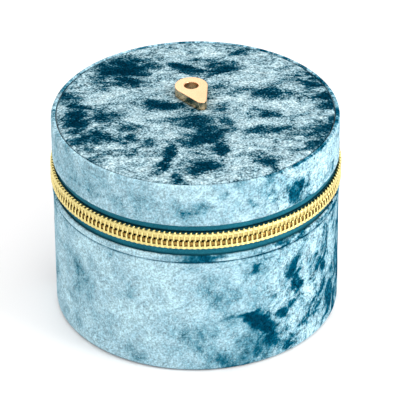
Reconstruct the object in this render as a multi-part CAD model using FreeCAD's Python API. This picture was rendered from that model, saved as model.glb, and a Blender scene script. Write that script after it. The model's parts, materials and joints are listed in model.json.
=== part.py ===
import FreeCAD, Part
import os, math
from FreeCAD import Vector

# Round travel jewellery case: a velvet covered drum with a zip-around lid.
# Millimetres. Origin at the centre of the underside, +Z up, -Y the front, +Y the fabric hinge.
# Angles are in degrees and run counter-clockwise seen from above, from the front towards +X.
# A (low, high) pair named *_Z holds the bottom and top heights of a layer.
os.makedirs("parts", exist_ok=True)

# ---------------------------------------------------------------- driving sizes
R_OUT = 47.5            # outside radius over the velvet
HEIGHT = 71.0           # to the flat top of the lid
BASE_EDGE = 45.0        # top edge of the base's velvet
LID_EDGE = 56.3         # bottom edge of the lid's velvet
CHAIN_Z = 50.8          # middle of the zip chain
COVER = 0.85            # velvet with its backing
BOARD = 1.5             # greyboard
LINING = 0.6            # lining on the walls
TAPE = 0.45             # zip tape
GAP = 0.05              # glue line between stacked layers

# wall layers, from the velvet inwards
R_COVER_IN = R_OUT - COVER
R_TAPE_OUT = R_COVER_IN - 0.10
R_TAPE_IN = R_TAPE_OUT - TAPE
R_BOARD_OUT = R_TAPE_IN - GAP
R_BOARD_IN = R_BOARD_OUT - BOARD
R_LINING_OUT = R_BOARD_IN - GAP
R_LINING_IN = R_LINING_OUT - LINING
EDGE_FILLET = 0.35      # velvet edges facing the zip


# ---------------------------------------------------------------- helpers
def polar(radius, angle, z):
    turn = math.radians(angle)
    return Vector(radius * math.sin(turn), -radius * math.cos(turn), z)


def cylinder(radius, z0, z1, x=0, y=0):
    return Part.makeCylinder(radius, z1 - z0, Vector(x, y, z0))


def tube(r_in, r_out, z0, z1):
    return cylinder(r_out, z0, z1).cut(cylinder(r_in, z0 - 1, z1 + 1))


def sector(r_in, r_out, z0, z1, angle0, angle1):
    """Part of a ring between two angles."""
    corners = [(r_in, z0), (r_out, z0), (r_out, z1), (r_in, z1), (r_in, z0)]
    section = Part.makePolygon([polar(r, angle0, z) for r, z in corners])
    return Part.Face(section).revolve(Vector(0, 0, 0), Vector(0, 0, 1), angle1 - angle0)


def chain_span(side, near, far):
    """Heights of a span measured from mid-chain; side is 1 for above, -1 for below."""
    return sorted((CHAIN_Z + side * near, CHAIN_Z + side * far))


def arc(start, middle, end):
    return Part.Arc(start, middle, end).toShape()


def round_edges(shape, fillet, radius, z, tol=0.02):
    """Fillets the horizontal circular edges at a radius and height."""
    edges = []
    for edge in shape.Edges:
        box = edge.BoundBox
        curve = getattr(edge, "Curve", None)
        if (hasattr(curve, "Radius") and abs(curve.Radius - radius) < tol
                and abs(box.ZMin - z) < tol and abs(box.ZMax - z) < tol):
            edges.append(edge)
    return shape.makeFillet(fillet, edges)


def save(name, *shapes):
    solids = [solid for shape in shapes for solid in shape.Solids]
    for solid in solids:
        if not solid.isValid() or solid.Volume <= 0:
            raise RuntimeError("bad solid in " + name)
    piece = solids[0] if len(solids) == 1 else Part.makeCompound(solids)
    piece.exportStep("parts/%s.step" % name)


# ---------------------------------------------------------------- base
BOTTOM_Z = (0.0, 0.8)
TURN_IN_Z = (BOTTOM_Z[1] + GAP, BOTTOM_Z[1] + GAP + COVER)  # side cover folded under the floor
FLOOR_BOARD_Z = (TURN_IN_Z[1] + GAP, TURN_IN_Z[1] + GAP + BOARD)
FLOOR_LINING_Z = (FLOOR_BOARD_Z[1] + GAP, 4.30)
INSIDE_Z = FLOOR_LINING_Z[1] + GAP      # underside of everything standing on the floor
BASE_WALL_TOP = BASE_EDGE - 0.6
TURN_IN_R = 40.5
FOOT_R_IN, FOOT_TOP = 45.3, 1.0
FOOT_FILLET = 1.6
BOTTOM_R = 45.2


def base_side_cover():
    cover = tube(R_COVER_IN, R_OUT, TURN_IN_Z[0], BASE_EDGE)
    cover = cover.fuse(tube(TURN_IN_R, R_OUT, *TURN_IN_Z)).removeSplitter()
    # the cover reaches the ground at a rounded foot
    cover = cover.fuse(tube(FOOT_R_IN, R_OUT, 0.0, FOOT_TOP)).removeSplitter()
    cover = round_edges(cover, FOOT_FILLET, R_OUT, 0.0)
    return round_edges(cover, EDGE_FILLET, R_OUT, BASE_EDGE)


save("base_side_cover", base_side_cover())
save("base_bottom_cover", cylinder(BOTTOM_R, *BOTTOM_Z))
save("base_wall_board", tube(R_BOARD_IN, R_BOARD_OUT, FLOOR_BOARD_Z[0], BASE_WALL_TOP))
save("base_floor_board", cylinder(R_BOARD_IN - GAP, *FLOOR_BOARD_Z))
save("base_wall_lining", tube(R_LINING_IN, R_LINING_OUT, INSIDE_Z, BASE_WALL_TOP))
save("base_floor_lining", cylinder(R_LINING_OUT, *FLOOR_LINING_Z))

# ---------------------------------------------------------------- ring rolls
ROLL_W, ROLL_H = 12.2, 25.0
ROLL_FRONT_Y, ROLL_PITCH = -31.6, 12.5
ROLL_R = R_LINING_IN - 0.3      # the rolls' ends follow this radius
SLEEVE = 1.0                    # sleeve wall
CORE_CLEARANCE = 0.05
ROLL_YS = [ROLL_FRONT_Y + i * ROLL_PITCH for i in range(3)]


def roll_bar(y, end_r, z0, inset=0.0):
    """An upright bar along X with a round top, its ends cut to a radius."""
    half = ROLL_W / 2 - inset
    shoulder = z0 + ROLL_H - ROLL_W / 2
    front_foot, front_top, crown, rear_top, rear_foot = [
        Vector(-60, y + dy, z) for dy, z in (
            (-half, z0), (-half, shoulder), (0, shoulder + half), (half, shoulder), (half, z0))]
    section = Part.Wire([
        Part.makeLine(front_foot, front_top),
        arc(front_top, crown, rear_top),
        Part.makeLine(rear_top, rear_foot),
        Part.makeLine(rear_foot, front_foot)])
    return Part.Face(section).extrude(Vector(120, 0, 0)).common(cylinder(end_r, 0, 60))


def roll_sleeve(y):
    """Hollow roll, open underneath."""
    sleeve = roll_bar(y, ROLL_R, INSIDE_Z)
    # the lowered copy carries the hollow through the underside
    hollow = roll_bar(y, ROLL_R - SLEEVE, INSIDE_Z - 1.0, SLEEVE)
    hollow = hollow.fuse(roll_bar(y, ROLL_R - SLEEVE, INSIDE_Z, SLEEVE)).removeSplitter()
    return sleeve.cut(hollow)


def roll_core(y):
    inset = SLEEVE + CORE_CLEARANCE
    return roll_bar(y, ROLL_R - inset, INSIDE_Z, inset)


for place, roll_y in zip(("front", "middle", "rear"), ROLL_YS):
    save("ring_roll_" + place, roll_sleeve(roll_y))
save("ring_roll_cores", *[roll_core(y) for y in ROLL_YS])

# ---------------------------------------------------------------- dividers
DIVIDER_TOP = 33.0
DIVIDER_T = 2.4
DIVIDER_R = R_LINING_IN - 0.2
DIVIDER_FILLET = 1.1
LONG_Y = 0.1                            # front face of the long divider
CROSS_Y = LONG_Y + DIVIDER_T + 0.1      # front end of the cross divider


def divider(x, y, x_size, y_size, length_name, min_length):
    """A panel cut to the drum's curve, its long top edges rounded."""
    panel = Part.makeBox(x_size, y_size, DIVIDER_TOP - INSIDE_Z, Vector(x, y, INSIDE_Z))
    panel = panel.common(cylinder(DIVIDER_R, 0, 60))
    return panel.makeFillet(DIVIDER_FILLET, [
        edge for edge in panel.Edges
        if edge.BoundBox.ZMin > DIVIDER_TOP - 0.01
        and getattr(edge.BoundBox, length_name) > min_length])


save("divider_long", divider(-50, LONG_Y, 100, DIVIDER_T, "XLength", 50))
save("divider_cross", divider(-DIVIDER_T / 2, CROSS_Y, DIVIDER_T, 50, "YLength", 30))

# ---------------------------------------------------------------- lid
TOP_COVER_Z = (70.10, HEIGHT)
FOAM_Z = (68.50, TOP_COVER_Z[0] - GAP)
TOP_BOARD_Z = (66.90, FOAM_Z[0] - GAP)
PANEL_Z = (65.10, 66.20)
BAND_FLANGE_Z = 69.75   # underside of the side cover's inward flange
LID_WALL_BOTTOM = LID_EDGE + 0.5
LID_DISC_R = R_BOARD_IN - 0.1
SEAM_R = 45.6           # seam between the lid's side band and its top disc
SEAM_HALF = 0.04
RIM_FILLET = 1.0
SEAM_FILLET = 0.4

CHARM_X, CHARM_Y = 2.5, 8.0
POSTS = [(CHARM_X, CHARM_Y - 5.2), (CHARM_X, CHARM_Y + 7.0)]
POST_R = 0.9
POST_BOTTOM = 66.3
POST_HOLE_R = 1.05


def lid_side_cover():
    cover = tube(R_COVER_IN, R_OUT, LID_EDGE, HEIGHT)
    cover = cover.fuse(tube(SEAM_R + SEAM_HALF, R_OUT, BAND_FLANGE_Z, HEIGHT)).removeSplitter()
    cover = round_edges(cover, RIM_FILLET, R_OUT, HEIGHT)
    return round_edges(cover, EDGE_FILLET, R_OUT, LID_EDGE)


def drilled(shape):
    """Cuts the holes for the charm's posts."""
    for x, y in POSTS:
        shape = shape.cut(cylinder(POST_HOLE_R, 55, 85, x, y))
    return shape


def lid_top_cover():
    radius = SEAM_R - SEAM_HALF
    return drilled(round_edges(cylinder(radius, *TOP_COVER_Z), SEAM_FILLET, radius, HEIGHT))


save("lid_side_cover", lid_side_cover())
save("lid_top_cover", lid_top_cover())
save("lid_top_foam", drilled(cylinder(LID_DISC_R, *FOAM_Z)))
save("lid_top_board", drilled(cylinder(LID_DISC_R, *TOP_BOARD_Z)))
save("lid_wall_board", tube(R_BOARD_IN, R_BOARD_OUT, LID_WALL_BOTTOM, BAND_FLANGE_Z - GAP))
save("lid_wall_lining", tube(R_LINING_IN, R_LINING_OUT, LID_WALL_BOTTOM, PANEL_Z[0] - GAP))
save("lid_lining_panel", cylinder(R_LINING_OUT, *PANEL_Z))

# ---------------------------------------------------------------- mirror under the lid
ADHESIVE_Z = (64.65, PANEL_Z[0] - GAP)
ADHESIVE_R = 26.0
MIRROR_Z = (62.80, ADHESIVE_Z[0] - GAP)
MIRROR_R = 30.0
MIRROR_CHAMFER = 0.35
FRAME_R_IN = MIRROR_R + 0.15
FRAME_R_OUT = MIRROR_R + 4.2
FRAME_BOTTOM = 62.3
LIP_R = MIRROR_R - 1.2      # the lip laps under the glass
LIP_Z = (61.7, 62.7)


def mirror_glass():
    glass = cylinder(MIRROR_R, *MIRROR_Z)
    return glass.makeChamfer(MIRROR_CHAMFER, [
        edge for edge in glass.Edges
        if abs(edge.BoundBox.ZMin - MIRROR_Z[0]) < 1e-3
        and abs(edge.BoundBox.ZMax - MIRROR_Z[0]) < 1e-3])


def mirror_frame():
    frame = tube(FRAME_R_IN, FRAME_R_OUT, FRAME_BOTTOM, PANEL_Z[0] - GAP)
    frame = frame.fuse(tube(LIP_R, FRAME_R_OUT, *LIP_Z)).removeSplitter()
    frame = round_edges(frame, 1.6, FRAME_R_OUT, LIP_Z[0])
    return round_edges(frame, 0.4, LIP_R, LIP_Z[0])


save("mirror_adhesive", cylinder(ADHESIVE_R, *ADHESIVE_Z))
save("mirror_glass", mirror_glass())
save("mirror_frame", mirror_frame())

# ---------------------------------------------------------------- charm on the lid
CHARM_T = 3.2
CHARM_FILLET = 0.28
BIG_R, BIG_Y = 5.5, 3.15        # rear end of the drop, y from the charm's origin
SMALL_R, SMALL_Y = 1.75, -6.9   # front end of the drop
WINDOW_R = 2.35
RETAINER_R, RETAINER_HOLE_R = 2.6, 0.93
RETAINER_Z = (66.38, TOP_BOARD_Z[0] - GAP)


def lid_charm():
    """Drop shaped plate with a round window, cast with two posts."""
    # the straight sides are tangent to both end circles
    sine = (BIG_R - SMALL_R) / (BIG_Y - SMALL_Y)
    cosine = math.sqrt(1 - sine * sine)

    def tangent_point(side, radius, y):
        return Vector(side * radius * cosine, y - radius * sine, 0)

    big_left, big_right = [tangent_point(side, BIG_R, BIG_Y) for side in (-1, 1)]
    small_left, small_right = [tangent_point(side, SMALL_R, SMALL_Y) for side in (-1, 1)]
    outline = Part.Wire([
        arc(big_right, Vector(0, BIG_Y + BIG_R, 0), big_left),
        Part.makeLine(big_left, small_left),
        arc(small_left, Vector(0, SMALL_Y - SMALL_R, 0), small_right),
        Part.makeLine(small_right, big_right)])
    charm = Part.Face(outline).extrude(Vector(0, 0, CHARM_T))
    charm = charm.cut(cylinder(WINDOW_R, -1, 9, 0, BIG_Y))
    top_edges = [edge for edge in charm.Edges if edge.BoundBox.ZMin > CHARM_T - 1e-3]
    charm = charm.makeFillet(CHARM_FILLET, top_edges)
    charm.translate(Vector(CHARM_X, CHARM_Y, HEIGHT))
    for x, y in POSTS:
        charm = charm.fuse(cylinder(POST_R, POST_BOTTOM, HEIGHT + 0.5, x, y))
    return charm.removeSplitter()


def charm_retainer(x, y):
    return cylinder(RETAINER_R, *RETAINER_Z, x, y).cut(cylinder(RETAINER_HOLE_R, 66, 67, x, y))


save("lid_charm", lid_charm())
save("charm_retainers", *[charm_retainer(x, y) for x, y in POSTS])

# ---------------------------------------------------------------- zip tapes, rows and stops
CHAIN_HALF = 3.15       # half height of the closed chain
SLOT_HALF = 0.40        # half of the running slot between the two rows
COIL_IN, COIL_OUT = 46.60, 48.15
CORD = 1.0              # radial thickness of the core cord
PITCH = 1.72            # tooth pitch along one row, at R_OUT
TOOTH_HALF = 0.52       # half width of a tooth, at R_OUT
COIL_END = 142.5        # the rows run from -COIL_END to +COIL_END
TAPE_END = 163.0
TAPE_REACH = 12.3       # how far each tape reaches from the middle of the chain
STOP_START, STOP_END = 158.5, 159.7
STOP_OUT = 47.9


def zip_tape(side):
    return sector(R_TAPE_IN, R_TAPE_OUT, *chain_span(side, SLOT_HALF, TAPE_REACH),
                  -TAPE_END, TAPE_END)


def zip_row(side, phase):
    """A core cord with upright coil loops over it; phase shifts the teeth, in pitches."""
    cord = sector(COIL_IN, COIL_IN + CORD, *chain_span(side, 1.75, CHAIN_HALF - 0.15),
                  -COIL_END, COIL_END)
    count = int(2 * COIL_END / math.degrees(PITCH / R_OUT))
    step = 2 * COIL_END / count
    half = math.degrees(TOOTH_HALF / R_OUT)
    teeth = []
    for i in range(count):
        centre = -COIL_END + (i + phase) * step
        teeth.append(sector(COIL_IN + 0.05, COIL_OUT, *chain_span(side, SLOT_HALF, CHAIN_HALF),
                            centre - half, centre + half))
    return cord.multiFuse(teeth).removeSplitter()


def zip_stops(side):
    return [sector(COIL_IN, STOP_OUT, *chain_span(side, 0.45, 2.7), start, end)
            for start, end in ((STOP_START, STOP_END), (-STOP_END, -STOP_START))]


for level, side, phase in (("upper", 1, 0.28), ("lower", -1, 0.72)):
    save(level + "_zip_tape", zip_tape(side))
    save(level + "_zip_coil", zip_row(side, phase))
    save(level + "_zip_stops", *zip_stops(side))

# ---------------------------------------------------------------- fabric hinge
HINGE_HALF = 20.0                       # half width of the strip, degrees
HINGE_LINING_HALF = HINGE_HALF + 1.5

save("hinge_strip", sector(R_COVER_IN, R_OUT, BASE_EDGE + GAP, LID_EDGE - GAP,
                           180 - HINGE_HALF, 180 + HINGE_HALF))
save("hinge_lining", sector(45.2, 45.8, BASE_EDGE - 0.5, LID_EDGE + 0.4,
                            180 - HINGE_LINING_HALF, 180 + HINGE_LINING_HALF))

# ---------------------------------------------------------------- slider
# The slider and its pull are drawn at the front (+X along the chain, -Y outwards), then turned.
SLIDER_ANGLE = 150.5    # where the slider rests with the case closed
SLIDER_HALF = 6.6       # half length, degrees
BACK_IN, BACK_OUT = 45.25, 45.95
BACK_HALF_H = 3.7
FRONT_IN, FRONT_OUT = 48.30, 49.35
FLANGE_NEAR, FLANGE_FAR = 3.40, 4.25    # from mid-chain
FLANGE_R_IN = 46.75
FLANGE_END = 3.4        # degrees
WEB_HALF = 0.25
WEB_START, WEB_END = 0.8, 5.6           # degrees
OVERLAP = 0.1           # radial overlap of fused members
SLIDER_FILLET = 0.35
# Slider outline seen from outside: x, half height as a share of FLANGE_FAR
SLIDER_OUTLINE = [(-5.5, 0.86), (-4.1, 1.0), (3.3, 1.0), (4.8, 0.82), (5.5, 0.45)]


def at_slider(shape):
    placed = shape.copy()
    placed.rotate(Vector(0, 0, 0), Vector(0, 0, 1), SLIDER_ANGLE)
    return placed


def slider_outline_block():
    upper = [Vector(x, -40, CHAIN_Z + share * FLANGE_FAR) for x, share in SLIDER_OUTLINE]
    lower = [Vector(x, -40, CHAIN_Z - share * FLANGE_FAR)
             for x, share in reversed(SLIDER_OUTLINE)]
    return Part.Face(Part.makePolygon(upper + lower + upper[:1])).extrude(Vector(0, -20, 0))


def zip_slider_body():
    """Front and back plates joined by a web, with a flange above and below the chain."""
    front = sector(FRONT_IN, FRONT_OUT, CHAIN_Z - FLANGE_FAR, CHAIN_Z + FLANGE_FAR,
                   -SLIDER_HALF, SLIDER_HALF)
    flanges = [sector(FLANGE_R_IN, FRONT_IN + OVERLAP, *chain_span(side, FLANGE_NEAR, FLANGE_FAR),
                      -SLIDER_HALF, FLANGE_END) for side in (1, -1)]
    back = sector(BACK_IN, BACK_OUT, CHAIN_Z - BACK_HALF_H, CHAIN_Z + BACK_HALF_H,
                  -SLIDER_HALF, SLIDER_HALF)
    web = sector(BACK_OUT - OVERLAP, FRONT_IN + OVERLAP, CHAIN_Z - WEB_HALF, CHAIN_Z + WEB_HALF,
                 WEB_START, WEB_END)
    body = front.multiFuse(flanges + [back, web]).removeSplitter()
    body = body.common(slider_outline_block()).removeSplitter()
    # guards the fillet on the front plate: if it fails, the edges stay sharp
    try:
        edges = []
        for edge in body.Edges:
            curve = getattr(edge, "Curve", None)
            if (hasattr(curve, "Radius") and abs(curve.Radius - FRONT_OUT) < 0.01
                    and edge.BoundBox.ZLength < 0.01):
                edges.append(edge)
        if edges:
            body = body.makeFillet(SLIDER_FILLET, edges)
    except Exception:
        pass
    return body


save("zip_slider_body", at_slider(zip_slider_body()))

# ---------------------------------------------------------------- bail, pull link and pull tab
BAIL_R = 51.3           # radius of the bail's crown, also the pull link's pivot
BAIL_WIRE = 0.6         # wire radius
BAIL_HALF = 3.5         # half length along the chain
BAIL_BEND = 1.2
LINK_R = 1.25           # centreline radius of the pull link's ends
LINK_WIRE = 0.45        # wire radius
LINK_DROP = 5.5         # distance between the link's end centres
LINK_BOTTOM = CHAIN_Z - LINK_DROP       # lower end centre
TAB_L, TAB_W, TAB_T = 23.0, 7.4, 1.0
EYE_R, EYE_HOLE_R = 2.3, 1.2
EYE_Z = LINK_BOTTOM - LINK_R - 0.5
NECK_DROP, SHOULDER_DROP = 1.8, 5.2     # below the eye's centre
TAB_FILLET = 0.25


def slider_bail():
    """A round wire arch along the chain, its feet cut to the slider's front."""
    foot_y, crown_y = -(FRONT_OUT - 0.45), -BAIL_R
    bend_mid = BAIL_BEND * (1 - math.sqrt(0.5))

    def point(side, inset, y):
        return Vector(side * (BAIL_HALF - inset), y, CHAIN_Z)

    # per side: foot, start of the bend, its middle, its end on the crown
    left, right = [[
        point(side, 0, foot_y),
        point(side, 0, crown_y + BAIL_BEND),
        point(side, bend_mid, crown_y + bend_mid),
        point(side, BAIL_BEND, crown_y)] for side in (-1, 1)]
    path = Part.Wire([
        Part.makeLine(left[0], left[1]),
        arc(left[1], left[2], left[3]),
        Part.makeLine(left[3], right[3]),
        arc(right[3], right[2], right[1]),
        Part.makeLine(right[1], right[0])])
    section = Part.Wire([Part.makeCircle(BAIL_WIRE, left[0], Vector(0, -1, 0))])
    bail = path.makePipeShell([section], True, True)
    return bail.cut(cylinder(FRONT_OUT + 0.005, CHAIN_Z - 10, CHAIN_Z + 10))


def pull_link():
    """An oval wire ring in the upright plane, hung round the bail."""
    def half_ring(z, box_z):
        ring = Part.makeTorus(LINK_R, LINK_WIRE, Vector(0, -BAIL_R, z), Vector(1, 0, 0))
        return ring.common(Part.makeBox(4, 4, 4, Vector(-2, -BAIL_R - 2, box_z)))

    legs = [cylinder(LINK_WIRE, LINK_BOTTOM, CHAIN_Z, 0, -BAIL_R + side * LINK_R)
            for side in (1, -1)]
    top = half_ring(CHAIN_Z, CHAIN_Z)
    bottom = half_ring(LINK_BOTTOM, LINK_BOTTOM - 4)
    return top.multiFuse([bottom] + legs).removeSplitter()


def pull_tab():
    """A flat paddle hung by its eye on the bottom of the link."""
    half = TAB_W / 2
    end_z = EYE_Z + EYE_R - TAB_L + half * 0.9      # centre of the round end
    # per side: beside the eye, neck, shoulder, start of the round end
    left, right = [[
        Vector(side * x, 0, z) for x, z in (
            (EYE_R, EYE_Z), (EYE_R, EYE_Z - NECK_DROP),
            (half, EYE_Z - SHOULDER_DROP), (half, end_z))] for side in (-1, 1)]
    down = [Part.makeLine(right[i], right[i + 1]) for i in range(3)]
    up = [Part.makeLine(left[i + 1], left[i]) for i in (2, 1, 0)]
    eye_arc = arc(left[0], Vector(0, 0, EYE_Z + EYE_R), right[0])
    end_arc = arc(right[3], Vector(0, 0, end_z - half), left[3])
    face = Part.Face(Part.Wire([eye_arc] + down + [end_arc] + up))
    face.translate(Vector(0, -BAIL_R + TAB_T / 2, 0))
    tab = face.extrude(Vector(0, -TAB_T, 0))
    tab = tab.cut(Part.makeCylinder(
        EYE_HOLE_R, 10, Vector(0, -BAIL_R + 5, EYE_Z), Vector(0, -1, 0)))
    # guards the fillet round both faces: if it fails, the edges stay sharp
    try:
        tab = tab.makeFillet(TAB_FILLET, [e for e in tab.Edges if e.BoundBox.YLength < 1e-4])
    except Exception:
        pass
    return tab


save("slider_bail", at_slider(slider_bail()))
save("pull_link", at_slider(pull_link()))
save("pull_tab", at_slider(pull_tab()))
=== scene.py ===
"""A round velvet jewellery case with a zip, a cloth-hinged lid, a mirror and ring rolls.

The case stands on z = 0 with its axis on z. Its front faces -y, its right is +x and its hinge is
at the back, +y. Shapes are in millimetres until build_mesh turns them into metres. Angles round
the case are in degrees from the front, growing towards the right. A profile is a list of (r, z).
"""
import json
import math
import bpy
import bmesh
import numpy as np
from mathutils import Matrix, Vector


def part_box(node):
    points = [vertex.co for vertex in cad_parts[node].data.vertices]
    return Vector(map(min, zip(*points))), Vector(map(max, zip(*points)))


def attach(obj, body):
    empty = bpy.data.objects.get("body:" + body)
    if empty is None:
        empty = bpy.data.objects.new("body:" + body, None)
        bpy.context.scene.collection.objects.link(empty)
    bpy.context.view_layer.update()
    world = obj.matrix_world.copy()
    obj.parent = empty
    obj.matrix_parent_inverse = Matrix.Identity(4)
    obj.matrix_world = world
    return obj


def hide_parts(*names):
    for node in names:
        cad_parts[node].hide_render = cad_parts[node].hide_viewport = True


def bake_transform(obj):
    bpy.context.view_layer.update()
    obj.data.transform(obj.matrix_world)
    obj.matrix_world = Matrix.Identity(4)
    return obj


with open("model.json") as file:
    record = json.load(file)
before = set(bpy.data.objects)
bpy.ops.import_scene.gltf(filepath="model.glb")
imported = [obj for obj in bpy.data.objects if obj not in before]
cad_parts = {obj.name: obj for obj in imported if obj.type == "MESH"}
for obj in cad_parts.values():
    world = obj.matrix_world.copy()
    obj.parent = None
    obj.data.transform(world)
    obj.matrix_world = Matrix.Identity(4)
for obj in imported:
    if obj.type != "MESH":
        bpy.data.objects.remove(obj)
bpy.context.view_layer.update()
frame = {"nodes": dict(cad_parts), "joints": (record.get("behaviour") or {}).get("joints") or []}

MM = 0.001
scene = bpy.context.scene
CAD = frame["nodes"]

# ---------------------------------------------------------------- driving sizes
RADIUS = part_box("base_side_cover")[1].x / MM
BASE_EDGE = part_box("base_side_cover")[1].z / MM     # upper edge of the base's velvet
LID_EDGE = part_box("lid_side_cover")[0].z / MM       # lower edge of the lid's velvet
ZIP_Z = 1000 * [j for j in frame["joints"] if j["name"] == "lid_hinge"][0]["pos_m"][2]

BASE_STITCH_Z, LID_STITCH_Z = 40.2, 61.2
CHARM_X, CHARM_Y = 2.5, 8.6

DRUM_RADIUS = 43.55      # room for the fittings inside the wall lining
FITTING_Z = 4.36         # foot of the wall lining, rolls and dividers
ROLL_WIDTH, ROLL_HEIGHT = 12.2, 25.0
DIVIDER_WIDTH, DIVIDER_TOP = 2.36, 33.0

PITCH = 1.72             # zip pitch along the case's radius
TAPE_OUTER, TAPE_INNER = 46.56, 46.12
COIL_SEAT = 46.62        # radius the coil's own heights are counted from
TAPE_END = 160.0         # angle where the tapes end
COIL_END = 157.2
BEND_START = 129.5       # angle where the upper row splits into its front piece and its ends by the hinge
HINGE_HALF = 20.0        # half the angle of the cloth hinge


# ---------------------------------------------------------------- seeded noise
def lattice_hash(ix, iy, iz, seed):
    """A pseudo-random number, 0..1, for each whole lattice point."""
    mask = np.uint64(0xFFFFFFFF)
    with np.errstate(over="ignore"):
        h = ((ix.astype(np.uint64) * np.uint64(73856093))
             ^ (iy.astype(np.uint64) * np.uint64(19349663))
             ^ (iz.astype(np.uint64) * np.uint64(83492791))
             ^ np.uint64(seed * 2654435761 % (1 << 32)))
        h = ((h ^ (h >> np.uint64(13))) * np.uint64(1274126177)) & mask
        h = ((h ^ (h >> np.uint64(16))) * np.uint64(2246822519)) & mask
    return h.astype(np.float64) / 4294967295.0


def value_noise(points, size, seed):
    """Smooth noise, 0..1, of points (n, 3) with features of the given size."""
    scaled = np.asarray(points, float) / size + 1000.0
    cell = np.floor(scaled).astype(np.int64)
    f = scaled - cell
    f = f * f * (3 - 2 * f)
    total = np.zeros(len(scaled))
    for dx in (0, 1):
        for dy in (0, 1):
            for dz in (0, 1):
                weight = (f[:, 0] if dx else 1 - f[:, 0]) * (f[:, 1] if dy else 1 - f[:, 1])
                weight = weight * (f[:, 2] if dz else 1 - f[:, 2])
                total += weight * lattice_hash(cell[:, 0] + dx, cell[:, 1] + dy,
                                               cell[:, 2] + dz, seed)
    return total


def layered_noise(points, size, seed, octaves):
    """Octaves of value noise, 0..1, each half as large and half as strong."""
    total, weight, weights = 0.0, 1.0, 0.0
    for k in range(octaves):
        total = total + weight * value_noise(points, size / 2 ** k, seed + 17 * k)
        weights += weight
        weight *= 0.5
    return total / weights


def sway(points, size, seed, octaves):
    """Layered noise from -1 to 1."""
    return 2 * (layered_noise(points, size, seed, octaves) - 0.5)


# ---------------------------------------------------------------- soft steps
def rise(value, start, over):
    """0 before start, 1 after start + over; a negative over falls away from start downwards."""
    return np.clip((value - start) / over, 0, 1)


def bell(value, centre, width, power=2):
    return np.exp(-((value - centre) / width) ** power)


def window(value, low, high, edge):
    """1 between low and high, with soft edges inside them."""
    return np.clip(np.minimum(value - low, high - value) / edge, 0, 1)


# ---------------------------------------------------------------- mesh helpers
def build_mesh(name, points, faces, values=None, smooth=True, sharp_angle=None):
    """An object from points in mm; values are float attributes of its points."""
    mesh = bpy.data.meshes.new(name)
    mesh.from_pydata([tuple(p) for p in np.asarray(points, float) * MM], [],
                     [tuple(int(i) for i in face) for face in faces])
    mesh.validate()
    bm = bmesh.new()
    bm.from_mesh(mesh)
    bmesh.ops.recalc_face_normals(bm, faces=bm.faces)
    bm.to_mesh(mesh)
    bm.free()
    for key, numbers in (values or {}).items():
        attribute = mesh.attributes.new(key, "FLOAT", "POINT")
        attribute.data.foreach_set("value", np.asarray(numbers, np.float32))
    if smooth:
        mesh.shade_smooth()
    if sharp_angle is not None:
        mesh.set_sharp_from_angle(angle=math.radians(sharp_angle))
    ob = bpy.data.objects.new(name, mesh)
    scene.collection.objects.link(ob)
    return ob


def polar(r, phi, z):
    a = np.radians(phi)
    return np.stack([r * np.sin(a), -r * np.cos(a), z + 0 * a], -1)


def subdivide_outline(outline, step):
    """Adds points along a closed outline so that no side is longer than step."""
    result = []
    for i in range(len(outline)):
        start = np.array(outline[i], float)
        end = np.array(outline[(i + 1) % len(outline)], float)
        parts = max(1, int(math.ceil(np.linalg.norm(end - start) / step)))
        result += [tuple(start + (end - start) * j / parts) for j in range(parts)]
    return result


def cut_corners(outline):
    """One round of Chaikin's corner cutting on a closed outline."""
    result = []
    for i in range(len(outline)):
        start = np.array(outline[i], float)
        end = np.array(outline[(i + 1) % len(outline)], float)
        result += [tuple(start * .75 + end * .25), tuple(start * .25 + end * .75)]
    return result


def turned_object(name, r, phi, z, faces, shift, paint):
    """shift(points, r, phi, z) gives (dr, dz); paint(points, r, phi, z) gives attributes."""
    points = polar(r, phi, z)
    if shift:
        dr, dz = shift(points, r, phi, z)
        points = polar(r + dr, phi, z + dz)
    values = paint(points, r, phi, z) if paint else None
    return build_mesh(name, points, faces, values)


def ring(name, profile, n, start=0.0, end=360.0, shift=None, paint=None):
    """A closed profile turned about the axis, all round or between two angles."""
    full = end - start >= 359.99
    m = len(profile)
    angles = np.linspace(start, end, n, endpoint=not full)
    r, z = np.tile(np.array(profile, float), (n, 1)).T
    index = np.arange(n * m).reshape(n, m)
    faces = []
    for i in range(n if full else n - 1):
        a, b = index[i], index[(i + 1) % n]
        faces += np.stack([a, b, np.roll(b, -1), np.roll(a, -1)], 1).tolist()
    if not full:
        faces += [list(index[0]), list(index[-1][::-1])]
    return turned_object(name, r, np.repeat(angles, m), z, faces, shift, paint)


def disc(name, profile, n, shift=None, paint=None):
    """A profile from the axis round to the axis again, turned into a closed disc."""
    inner = np.array(profile[1:-1], float)
    m = len(inner)
    r, z = np.tile(inner, (n, 1)).T
    r = np.concatenate([r, [0, 0]])
    z = np.concatenate([z, [profile[0][1], profile[-1][1]]])
    phi = np.concatenate([np.repeat(np.linspace(0, 360, n, endpoint=False), m), [0, 0]])
    index = np.arange(n * m).reshape(n, m)
    faces = []
    for i in range(n):
        a, b = index[i], index[(i + 1) % n]
        faces += [[a[j], b[j], b[j + 1], a[j + 1]] for j in range(m - 1)]
        faces.append([n * m, b[0], a[0]])
        faces.append([n * m + 1, a[-1], b[-1]])
    return turned_object(name, r, phi, z, faces, shift, paint)


def loft_faces(stations, m):
    """Faces between stations of m points each, with both ends capped."""
    faces = []
    for k in range(stations - 1):
        for j in range(m):
            a, b = k * m + j, k * m + (j + 1) % m
            faces.append([a, b, b + m, a + m])
    faces.append(list(range(m))[::-1])
    faces.append([(stations - 1) * m + j for j in range(m)])
    return faces


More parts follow.
